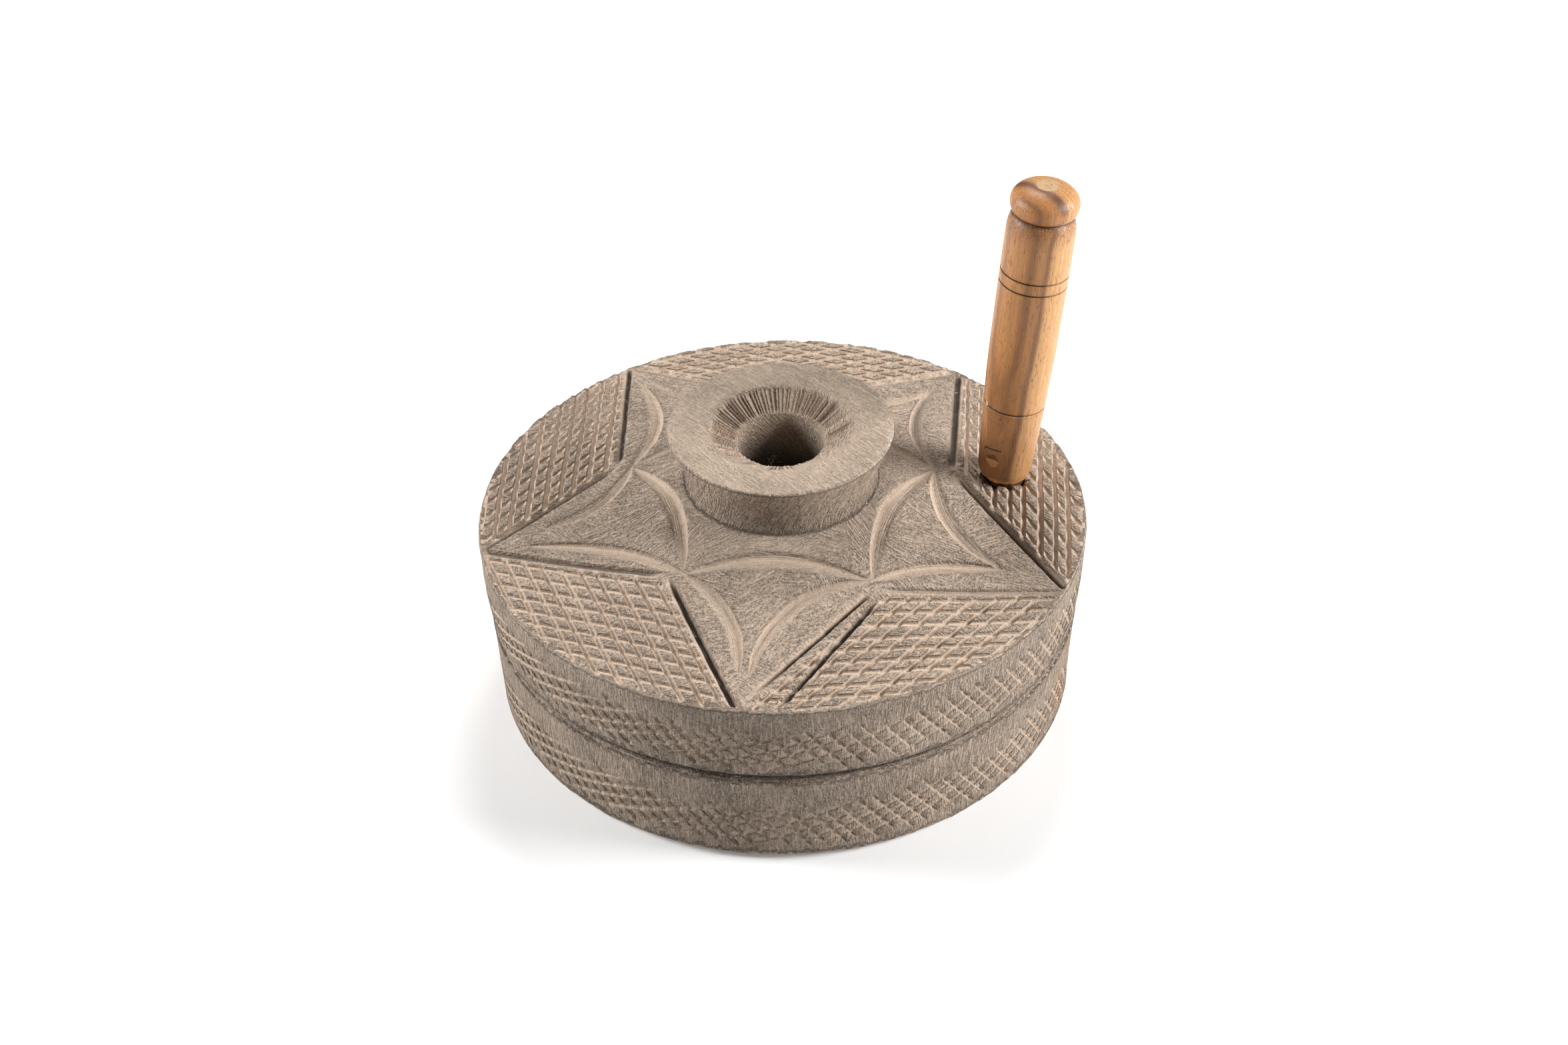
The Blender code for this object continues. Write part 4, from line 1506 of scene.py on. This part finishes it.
@dataclass
class Runner:
    """The upper stone: a carved dome with a hub, its funnel and eye, and a hatched wall."""

    radius: float
    base: float
    height: float
    rim_height: float = 0.0457
    taper: float = 0.0028
    taper_power: float = 2.5
    edge: float = 0.0010
    foot_round: float = 0.0015
    hub_foot: tuple[float, float] = (0.0506, 0.0213)
    slope_share: float = 0.33
    hub_waist: tuple[float, float] = (0.0502, 0.0060)
    hub_throat: tuple[float, float] = (0.0512, 0.0130)
    hub_radius: float = 0.0587
    hub_round: float = 0.0010
    funnel_radius: float = 0.0364
    funnel_depth: float = 0.0086
    eye_radius: float = 0.0230
    flutes: int = 96
    flute_depth: float = 0.0017
    band_low: float = 0.0050
    band_height: float = 0.0285
    columns: int = 720
    hub_columns: int = 432
    socket_inset: float = 0.0397
    socket_angle: float = radians(10.5)
    socket_lean: float = radians(5.3)
    socket_radius: float = 0.0118
    socket_depth: float = 0.0280
    socket_columns: int = 48
    plain_spacing: float = 0.0024

    def __post_init__(self) -> None:
        """Sets out the carving."""
        self.top = TopCarving(self.radius)
        self.rim = self.radius - self.edge
        self.hub_level = self.rim_height + self.hub_foot[1]
        self.funnel_foot = self.height - self.funnel_depth
        self.socket = polar(self.radius - self.socket_inset, self.socket_angle)
        self.chips = Ripple(301, 0.0035, 2.0 * pi)
        around = 2.0 * pi * self.radius
        self.foot_chips = (Ripple(304, 0.012, around), Ripple(305, 0.0028, around))

    def dome(self, distance: Array | float) -> Array | float:
        """How far the top has risen above its rim at a distance from the axis."""
        share = (self.rim - distance) / (self.rim - self.hub_foot[0])
        return self.hub_foot[1] * (self.slope_share * share + (1.0 - self.slope_share) * share ** 3)

    def surface(self, places: Array) -> tuple[Array, Marks]:
        """The top's height above the underside at flat places, and its marks.

        Args:
            places: flat places.

        Returns:
            The heights and the marks.
        """
        distance = lengths(places)
        depth, marks = self.top.cut(places)
        by_hub = eased(distance, self.hub_foot[0], self.hub_foot[0] + 0.004)
        by_rim = 0.45 + 0.55 * eased(distance, self.rim - 0.0005, self.rim - 0.0035)
        beyond = distance - self.hub_foot[0]
        shaded = np.interp(beyond, (0.0, 0.0009, 0.0020, 0.0050), (0.55, 0.20, 0.06, 0.0))
        marks["deep"] = np.maximum(marks["deep"], shaded)
        return self.rim_height + self.dome(distance) - depth * by_hub * by_rim, marks

    def rim_drop(self, angles: Array) -> Array:
        """How far the rim is cut down where strokes run out over it."""
        heights, _ = self.surface(polar(self.rim, angles))
        return self.rim_height + self.dome(self.rim) - heights

    def socket_axis(self) -> Array:
        """The handle's direction."""
        outwards = polar(sin(self.socket_lean), self.socket_angle)
        return np.array([outwards[0], outwards[1], cos(self.socket_lean)])

    def top_patch(self) -> Patch:
        """The carved dome between the rim and the hub's foot."""
        plan = Plan(0.00045)
        plan.chain(polar(self.rim, round_angles(self.columns)[:-1]), True)
        for outwards in (0.0, 0.0009, 0.0020):
            plan.chain(polar(self.hub_foot[0] + outwards, round_angles(self.hub_columns)[:-1]), True)
        plan.chain(self.mouth(), True)
        self.top.draw(plan, lambda places: np.abs(lengths(places - self.socket) - self.socket_radius))

        def plain(places: Array) -> Array:
            distance = lengths(places)
            on_the_top = (distance < self.rim - 0.0008) & (distance > self.hub_foot[0] + 0.0028)
            return on_the_top & ~self.top.in_hatch(places)

        plan.grid((-self.rim, -self.rim), (self.rim, self.rim), self.plain_spacing, plain)
        hub_edge = self.hub_foot[0] * cos(pi / self.hub_columns)
        mouth_edge = self.socket_radius * cos(pi / self.socket_columns)
        rim_edge = self.rim * 1.00001

        def keep(middles: Array) -> Array:
            distance = lengths(middles)
            by_socket = lengths(middles - self.socket) < mouth_edge
            return (distance > hub_edge) & (distance < rim_edge) & ~by_socket

        points, faces = plan.triangles(keep)
        heights, marks = self.surface(points)
        return Patch(np.column_stack([points, heights + self.base]), faces, points.copy(), marks)

    def mouth(self) -> Array:
        """The socket's edge, as flat points."""
        return self.socket + polar(self.socket_radius, round_angles(self.socket_columns)[:-1])

    def socket_patches(self) -> list[Patch]:
        """The blind socket for the handle's peg."""
        edge = np.vstack([self.mouth(), self.mouth()[:1]])
        heights, _ = self.surface(edge)
        upper = np.column_stack([edge, heights + self.base])
        rows = [upper - self.socket_axis() * self.socket_depth * share for share in (0.0, 0.15, 0.5, 1.0)]
        places = np.array(rows)
        around = round_angles(self.socket_columns) * self.socket_radius
        down = np.arange(4.0)[:, None] * self.socket_depth / 3.0
        sheet = np.stack(np.broadcast_arrays(around[None, :], down), -1)
        # Painted shade inside the socket, darker further down, and full on its floor.
        dark = np.broadcast_to(np.array([0.3, 0.8, 1.0, 1.0])[:, None], sheet.shape[:2])
        return [woven(places, sheet, {"deep": dark}), fan_patch(rows[-1][:-1], {"deep": 1.0})]

    def hub_patches(self) -> list[Patch]:
        """The hub's side, edge and top, the funnel and the eye."""
        angles = round_angles(self.hub_columns)
        foot = self.hub_level
        top = self.height
        side = Profile((
            (self.hub_foot[0], foot), (self.hub_waist[0], foot + self.hub_waist[1]),
            (self.hub_throat[0], foot + self.hub_throat[1]), (self.hub_radius, top - self.hub_round)), 0.0017)
        centre = (self.hub_radius - self.hub_round, top - self.hub_round)
        bow = [(centre[0] + self.hub_round * cos(turn), centre[1] + self.hub_round * sin(turn))
               for turn in np.linspace(0.0, pi / 2.0, 5)]
        mouth = (self.funnel_radius + 0.0012, top)
        throat = (self.eye_radius, self.funnel_foot - 0.0012)
        face = Profile((bow[-1], mouth), 0.0027)
        funnel = Profile((mouth, (self.eye_radius + 0.0006, self.funnel_foot + 0.0003), throat), 0.0013)
        bore = Profile((throat, (self.eye_radius, 0.0)), 0.0080)
        lines = (side.samples(), np.array(bow), face.samples(), funnel.samples(), bore.samples())
        patches = [self.hub_part(line, angles) for line in lines]
        patches[2].sheet = patches[2].places[:, :2].copy()
        return patches

    def hub_part(self, profile: Array, angles: Array) -> Patch:
        """One band of the hub, with its flutes and its worn edge.

        Args:
            profile: its radii and heights.
            angles: the angles round it.

        Returns:
            The patch.
        """
        radii = np.repeat(profile[:, :1], len(angles), 1)
        heights = np.repeat(profile[:, 1:], len(angles), 1)
        flat = np.stack(np.broadcast_arrays(angles[None, :] % (2.0 * pi), heights), -1)
        wander = Ripple(311, 0.045, 2.0 * pi).at(flat)
        on_edge = np.exp(-((radii - self.hub_radius) ** 2 + (heights - self.height) ** 2) / 0.0016 ** 2)
        worn = eased(self.chips.at(flat * (3.0, 1.0)), 0.15, 0.9) * on_edge
        rolling = Ripple(312, 0.010).at(polar(radii, angles[None, :] + 0.0 * radii)) + 1.0
        above_foot = eased(heights, self.hub_level, self.hub_level + 0.003)
        on_bore = (heights < self.funnel_foot - 0.001) & (radii < self.eye_radius + 0.001)
        number = angles[None, :] * self.flutes / (2.0 * pi) + 0.35 * wander
        own = Family(313, self.flutes, 0.0, True)
        near = np.floor(number)
        part = number - near
        top_end = self.funnel_radius + 0.0006 * (1.0 + own.of(own.first_ends, near))
        in_funnel = eased(radii, top_end + 0.0010, top_end - 0.0022)
        in_funnel = in_funnel * eased(heights, self.funnel_foot - 0.0004, self.funnel_foot + 0.0020)
        flute = np.interp(part, (0.0, 0.18, 0.34, 1.0), (0.0, 0.85, 1.0, 0.0))
        flute = flute * own.of(own.strengths, near) * self.flute_depth * in_funnel
        ragged = 0.0004 * wander * eased(heights, self.funnel_foot - 0.004, self.funnel_foot)
        inner = radii < self.funnel_radius
        rolled = rolling * 0.00012 * above_foot * ~inner * ~on_bore
        radii = radii - worn * 0.0006 - rolled + ragged * inner * ~on_bore
        heights = heights - worn * 0.0005 - flute
        cut = np.where(inner & ~on_bore, 0.25, 0.0) + on_bore * 0.4
        # Painted shade in the eye: darker further down, and most on its far wall.
        far = 0.85 + 0.15 * np.sin(angles)[None, :]
        deep = np.where(on_bore, far * eased(heights, self.height - 0.011, self.height - 0.042), 0.0)
        # Painted shade on the hub's side, darker towards its foot under the overhanging edge.
        at_foot = eased(heights, self.hub_level + 0.003, self.hub_level)
        side = (radii > self.funnel_radius) * eased(heights, self.height - 0.001, self.height - 0.003)
        low = eased(heights, self.height - 0.010, self.hub_level)
        deep = np.maximum(deep, (at_foot * 0.22 + low * 0.33) * side)
        level = np.ones_like(radii)
        lay = np.where(side > 0.5, 0.36, 0.73)
        rows = [(radii[row], heights[row]) for row in range(len(radii))]
        # Painted shade: a dark line along the steep side of each flute.
        gap = eased(part, 0.30, 0.16) * eased(part, 0.0, 0.08) * in_funnel * 0.8
        on_top = (radii > self.funnel_radius) & (side < 0.5)
        # Pale chips on the hub's edge, kept to its lit right-hand side: partly real chips, partly a painted
        # highlight.
        lit_side = eased(np.cos(angles - radians(25.0)), 0.3, 0.8)[None, :]
        chip = on_edge * eased(self.chips.at(flat * (6.0, 1.0)), 0.25, 0.55) * lit_side
        marks = {
            "cut": cut, "deep": np.maximum(deep, gap), "lay": lay * level, "loose": level * 0.10,
            "chip": chip, "pale": on_top * 0.7 + in_funnel * 1.8 * (1.0 - gap)}
        return ring_patch(rows, angles, self.base, marks)

    def wall_radius(self, heights: Array) -> Array:
        """The wall's radius at heights above the underside."""
        share = np.clip(1.0 - heights / self.rim_height, 0.0, 1.0)
        return self.radius - self.taper * share ** self.taper_power

    def foot_bite(self, angles: Array) -> Array:
        """How far the wall's lower edge is chipped away at angles round it."""
        broad, small = (ripple.at(wrapped(angles, self.radius)) for ripple in self.foot_chips)
        return 0.0001 + eased(broad + small * 0.4, 0.4, 1.4) * 0.0007 + (small + 1.0) * 0.00003

    def patches(self) -> list[Patch]:
        """Every patch of the runner."""
        angles = round_angles(self.columns)
        drop = self.rim_drop(angles)
        drop[-1] = drop[0]
        wall_top = self.rim_height - self.edge
        carving = WallCarving(self.radius, self.band_low, self.band_height, 401)
        wall = Wall(carving, self.foot_round, wall_top, self.wall_radius, self.foot_bite, self.columns)
        chipped = eased(self.chips.at(wrapped(angles, 12.0)), 0.1, 0.9) * self.edge * 0.5
        rows = []
        for turn in np.linspace(0.0, pi / 2.0, 4):
            inwards = self.edge * (1.0 - sin(turn)) + chipped * sin(2.0 * turn)
            rows.append((self.radius - inwards, self.rim_height - self.edge * (1.0 - cos(turn)) - drop))
        rows[-1] = (self.wall_radius(np.full_like(angles, wall_top)), wall_top - drop)
        foot = []
        for turn in np.linspace(0.0, pi / 2.0, 3):
            radius = self.wall_radius(np.array(self.foot_round)) - self.foot_round * (1.0 - cos(turn))
            bitten = self.foot_bite(angles) * cos(turn) ** 0.5
            foot.append((radius - bitten, np.full_like(angles, self.foot_round * (1.0 - sin(turn)))))
        outer = float(foot[-1][0].mean())
        foot[-1] = (np.full_like(angles, outer), foot[-1][1])
        # Painted shade under the runner's rounded foot, at the seam between the stones.
        under = np.repeat(np.array([[0.2], [0.9], [1.0]]), len(angles), 1)
        edge = np.repeat(np.array([[0.2], [0.8], [0.8], [0.2]]), len(angles), 1)
        return [
            self.top_patch(), *self.socket_patches(), *self.hub_patches(),
            ring_patch(rows, angles, self.base, {"pale": edge}), wall.patch(self.rim_drop, self.base),
            ring_patch(foot, angles, self.base, {"deep": under}),
            disc_patch(outer, self.columns, self.base, self.eye_radius, self.hub_columns),
        ]

    def build(self, finish: bpy.types.Material) -> bpy.types.Object:
        """Builds the runner and sets it in place of its solid.

        Args:
            finish: its material.

        Returns:
            The piece.
        """
        piece = make_piece("carved_runner", self.patches(), finish, radians(50.0))
        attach(piece, "runner")
        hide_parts("runner_stone")
        return piece


@dataclass
class Bedstone:
    """The lower stone: a flat disc with a rough chamfer under the runner and a hatched wall."""

    height: float
    radius: float = 0.1570
    foot_radius: float = 0.1545
    chamfer: float = 0.0045
    foot_round: float = 0.0045
    band_low: float = 0.0075
    band_height: float = 0.0300
    columns: int = 720

    def wall_radius(self, heights: Array) -> Array:
        """The wall's radius at heights above the floor."""
        return self.foot_radius + (self.radius - self.foot_radius) * heights / (self.height - self.chamfer)

    def patches(self) -> list[Patch]:
        """Every patch of the bedstone."""
        angles = round_angles(self.columns)
        level = np.ones_like(angles)
        wall_top = self.height - self.chamfer
        carving = WallCarving(self.radius, self.band_low, self.band_height, 501)
        wall = Wall(carving, self.foot_round, wall_top, self.wall_radius, np.zeros_like, self.columns)
        rough = Ripple(511, 0.0025, 2.0 * pi * self.radius)
        # The 'dark' rows are a painted shadow on the chamfer under the runner's overhanging foot, darkest at
        # its top.
        lip, dark = [], []
        for share in np.linspace(0.0, 1.0, 6):
            up = share * self.chamfer * 0.4
            bite = (rough.at(wrapped(angles, self.radius, up)) + 1.0) * 0.0003 * sin(pi * share)
            radius = self.radius - self.chamfer * (1.0 - share)
            lip.append((level * radius - bite, level * (self.height - self.chamfer * share) - bite))
            dark.append(level * float(eased(np.array(share), 0.75, 0.35)))
        lip[-1] = (self.wall_radius(level * wall_top), level * wall_top)
        foot = []
        chips = Ripple(512, 0.004, 2.0 * pi * self.radius)
        for turn in np.linspace(0.0, pi / 2.0, 5):
            up = turn * 0.004
            bite = (chips.at(wrapped(angles, self.radius, up)) + 1.0) * 0.0003 * sin(2.0 * turn)
            radius = float(self.wall_radius(np.array(self.foot_round))) - self.foot_round * (1.0 - cos(turn))
            foot.append((radius - bite, self.foot_round * (1.0 - sin(turn)) + bite))
        outer = float(foot[-1][0].max())
        foot[-1] = (level * outer, level * 0.0)
        return [
            disc_patch(self.radius - self.chamfer, self.columns, self.height),
            ring_patch(lip, angles, 0.0, {"deep": np.array(dark)}),
            wall.patch(np.zeros_like, 0.0), ring_patch(foot, angles, 0.0),
            disc_patch(outer, self.columns, 0.0),
        ]

    def build(self, finish: bpy.types.Material) -> bpy.types.Object:
        """Builds the bedstone and sets it in place of its solid.

        Args:
            finish: its material.

        Returns:
            The piece.
        """
        piece = make_piece("carved_bedstone", self.patches(), finish, radians(50.0))
        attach(piece, "base")
        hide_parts("bedstone")
        return piece


# The handle


@dataclass
class Handle:
    """The turned handle, with its scribed rings, knob, torn plug and whittled foot."""

    length: float = 0.1754
    foot_radius: float = 0.0140
    belly_radius: float = 0.0178
    belly_height: float = 0.1150
    peg_radius: float = 0.0113
    peg_length: float = 0.0275
    stand_out: float = 0.0008
    whittled: float = 0.0075
    knob_height: float = 0.0150
    knob_waist: float = 0.0060
    knob_radius: float = 0.0178
    knob_flat: float = 0.0060
    neck_radius: float = 0.0143
    shoulder: float = 0.0100
    rings: tuple[float, ...] = (0.0481, 0.1215, 0.1280)
    ring_width: float = 0.0010
    ring_depth: float = 0.0005
    plug: tuple[float, float] = (0.0165, -126.0)
    plug_radius: float = 0.0033
    columns: int = 110
    spacing: float = 0.0011

    def grip(self, heights: Array) -> Array:
        """The grip's radius at heights along it."""
        share = np.clip(heights / self.belly_height, 0.0, 1.0)
        return self.foot_radius + (self.belly_radius - self.foot_radius) * np.sin(share * pi / 2.0)

    def profile(self) -> Array:
        """The turned profile, foot to top, as radii and heights."""
        neck = self.length - self.knob_height
        shoulder = neck - self.shoulder
        corners = [(self.peg_radius - 0.0012, -self.peg_length), (self.peg_radius, -self.peg_length + 0.0012),
                   (self.peg_radius, self.stand_out)]
        foot = self.grip(np.array(self.whittled))
        for share in np.linspace(0.12, 1.0, 6):
            radius = self.peg_radius + (foot - self.peg_radius) * sin(share * pi / 2.0) ** 0.8
            corners.append((radius, self.stand_out + (self.whittled - self.stand_out) * share))
        heights = set(np.arange(self.whittled + self.spacing, shoulder, self.spacing).tolist())
        for ring in self.rings:
            heights = {height for height in heights if abs(height - ring) > self.ring_width}
            heights |= {ring + self.ring_width * share for share in (-0.5, -0.2, 0.0, 0.2, 0.5)}
        for height in sorted(heights):
            away = min(abs(height - ring) for ring in self.rings)
            cut = self.ring_depth * max(0.0, 1.0 - 2.0 * away / self.ring_width)
            corners.append((float(self.grip(np.array(height))) - cut, height))
        top = float(self.grip(np.array(shoulder)))
        for turn in np.linspace(0.0, pi / 2.0, 12):
            radius = self.neck_radius + (top - self.neck_radius) * cos(turn)
            corners.append((radius, shoulder + self.shoulder * sin(turn)))
        waist = neck + self.knob_waist
        for turn in np.linspace(0.0, pi / 2.0, 9)[1:]:
            radius = self.neck_radius + (self.knob_radius - self.neck_radius) * sin(turn)
            corners.append((radius, waist - self.knob_waist * cos(turn)))
        for turn in np.linspace(0.0, pi / 2.0, 14)[1:]:
            radius = self.knob_flat + (self.knob_radius - self.knob_flat) * cos(turn)
            corners.append((radius, waist + (self.length - waist) * sin(turn)))
        corners += [(self.knob_flat * share, self.length - 0.0002) for share in (0.9, 0.7, 0.5, 0.3, 0.12)]
        return np.array(corners)

    def marks(self, heights: Array, angles: Array) -> Marks:
        """Where the wood is torn or browned.

        Args:
            heights: heights along the handle.
            angles: angles round it.

        Returns:
            The marks.
        """
        radius = self.foot_radius
        across = np.radians(np.degrees(angles) - self.plug[1]) * radius
        plug = np.hypot(heights - self.plug[0], across)
        around = 2.0 * pi * radius
        ragged = Ripple(611, 0.0012, around).at(np.stack([(angles + pi) % (2.0 * pi) * radius, heights], -1))
        torn = eased(plug + ragged * 0.0008, self.plug_radius, self.plug_radius - 0.0010)
        foot = eased(heights + ragged * 0.0012, 0.0030, 0.0012) * eased(heights, -0.004, -0.001)
        neck = self.length - self.knob_height
        brown = eased(np.abs(heights - neck), 0.0022, 0.0003) * 1.1
        brown = brown + eased(heights, neck - 0.015, neck - 0.002) * eased(heights, neck + 0.001, neck) * 0.75
        brown = brown + eased(heights, neck, neck + 0.002) * eased(heights, neck + 0.011, neck + 0.003) * 0.30
        return {"torn": np.maximum(torn, foot * 0.8), "brown": brown, "sawn": np.zeros_like(heights)}

    def patch(self) -> Patch:
        """The handle's surface along its own axis."""
        profile = self.profile()
        angles = np.linspace(-pi, pi, self.columns + 1) - radians(5.0)
        radii = np.repeat(profile[:, :1], len(angles), 1)
        heights = np.repeat(profile[:, 1:], len(angles), 1)
        turns = np.broadcast_to(angles, radii.shape)
        marks = self.marks(heights, turns)
        flat = np.stack([(turns + pi) % (2.0 * pi) * self.belly_radius, heights], -1)
        uneven = Ripple(621, 0.016, 2.0 * pi * self.belly_radius).at(flat)
        fine = Ripple(622, 0.0016, 2.0 * pi * self.belly_radius).at(flat)
        on_end = eased(heights, self.length - 0.0009, self.length - 0.0003)
        on_end = on_end * (radii <= self.knob_flat + 0.0004)
        marks["sawn"] = on_end * eased(radii, self.knob_flat + 0.0003, self.knob_flat - 0.0006)
        above = eased(heights, -0.001, 0.003)
        inwards = 0.00016 * (uneven + 1.0) * above + marks["torn"] * (0.0005 + 0.0005 * fine)
        inwards = inwards + eased(heights, 0.004, 0.001) * eased(heights, -0.003, 0.0) * fine * 0.0006
        heights = heights - marks["sawn"] * (0.00012 * (fine + 1.0))
        places = turned(radii - inwards * (radii > self.knob_flat), heights, angles)
        return woven(places, flat, marks)

    def caps(self, patch: Patch) -> list[Patch]:
        """The small discs that close the handle's two ends."""
        rows = patch.places.reshape(-1, self.columns + 1, 3)
        return [fan_patch(row[:-1], {"sawn": sawn}) for row, sawn in ((rows[0], 0.0), (rows[-1], 1.0))]

    def build(self, runner: Runner, finish: bpy.types.Material) -> bpy.types.Object:
        """Builds the handle, stands it in the runner's socket and sets it in place of its solid.

        Args:
            runner: the stone with the socket.
            finish: its material.

        Returns:
            The piece.
        """
        patch = self.patch()
        piece = make_piece("turned_handle", [patch, *self.caps(patch)], finish, radians(60.0))
        foot = runner.socket
        height = runner.base + runner.rim_height + runner.dome(float(lengths(foot)))
        piece.location = (foot[0], foot[1], height)
        piece.rotation_mode = "QUATERNION"
        piece.rotation_quaternion = Vector((0.0, 0.0, 1.0)).rotation_difference(Vector(runner.socket_axis()))
        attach(piece, "runner")
        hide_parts("handle")
        return piece


# The studio


@dataclass(frozen=True)
class SoftLight:
    """A large soft lamp that faces the quern."""

    name: str
    place: tuple[float, float, float]
    size: float
    power: float
    colour: Colour = (1.0, 1.0, 1.0)

    def build(self, target: Vector) -> bpy.types.Object:
        """Hangs the lamp so that it faces a target.

        Args:
            target: the place that it faces.

        Returns:
            The lamp.
        """
        light = bpy.data.lights.new(self.name, "AREA")
        light.shape = "DISK"
        light.size = self.size
        light.energy = self.power
        light.color = self.colour
        lamp = bpy.data.objects.new(self.name, light)
        bpy.context.scene.collection.objects.link(lamp)
        lamp.location = self.place
        lamp.rotation_euler = (target - Vector(self.place)).to_track_quat("-Z", "Y").to_euler()
        return lamp


@dataclass(frozen=True)
class Studio:
    """A plain pale floor, soft lamps and the camera at the photograph's viewing angle."""

    radius: float
    rim: float
    floor_size: float = 9.0
    lens: float = 58.39
    camera_height: float = 5.1094
    camera_distance: float = 6.6553
    camera_side: float = 0.005
    tilt: float = 37.84
    roll: float = -1.22
    sky: float = 0.115
    lamps: tuple[SoftLight, ...] = (
        SoftLight("left_lamp", (-1.48, 0.20, 0.80), 0.70, 30.0),
        SoftLight("right_lamp", (1.49, -0.20, 0.82), 0.80, 39.0),
        SoftLight("back_lamp", (0.1, 1.1, 1.8), 0.6, 19.0),
    )

    def build(self) -> None:
        """Sets up the floor, the lamps, the sky and the camera."""
        bpy.ops.mesh.primitive_plane_add(size=self.floor_size)
        floor = bpy.context.object
        floor.name = "floor"
        floor.data.materials.append(PlainFinish("pale_floor", (0.86, 0.86, 0.86), 0.9, 0.16).make())
        for lamp in self.lamps:
            lamp.build(Vector((0.0, 0.0, self.rim)))
        world = bpy.data.worlds.new("soft_sky")
        world.use_nodes = True
        background = world.node_tree.nodes["Background"]
        background.inputs["Color"].default_value = WHITE
        background.inputs["Strength"].default_value = self.sky
        bpy.context.scene.world = world
        data = bpy.data.cameras.new("camera")
        data.lens = self.lens
        camera = bpy.data.objects.new("camera", data)
        bpy.context.scene.collection.objects.link(camera)
        camera.location = (self.camera_side * self.radius, -self.camera_distance * self.radius,
                           self.camera_height * self.radius + self.rim)
        camera.rotation_euler = (radians(90.0 - self.tilt), 0.0, 0.0)
        camera.rotation_euler.rotate_axis("Z", radians(self.roll))
        bpy.context.scene.camera = camera


def main() -> None:
    """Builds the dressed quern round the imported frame, and the studio."""
    logging.basicConfig(level=logging.INFO, format="%(message)s")
    bpy.context.scene.view_settings.view_transform = "Standard"
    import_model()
    low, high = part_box("runner_stone")
    runner = Runner(high.x, low.z, high.z - low.z)
    runner.build(StoneFinish("dressed_stone").make())
    Bedstone(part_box("bedstone")[1].z).build(StoneFinish("dressed_lower_stone", 0.8).make())
    Handle().build(runner, WoodFinish("turned_wood").make())
    Studio(runner.radius, runner.base + runner.rim_height).build()


if __name__ == "__main__":
    main()
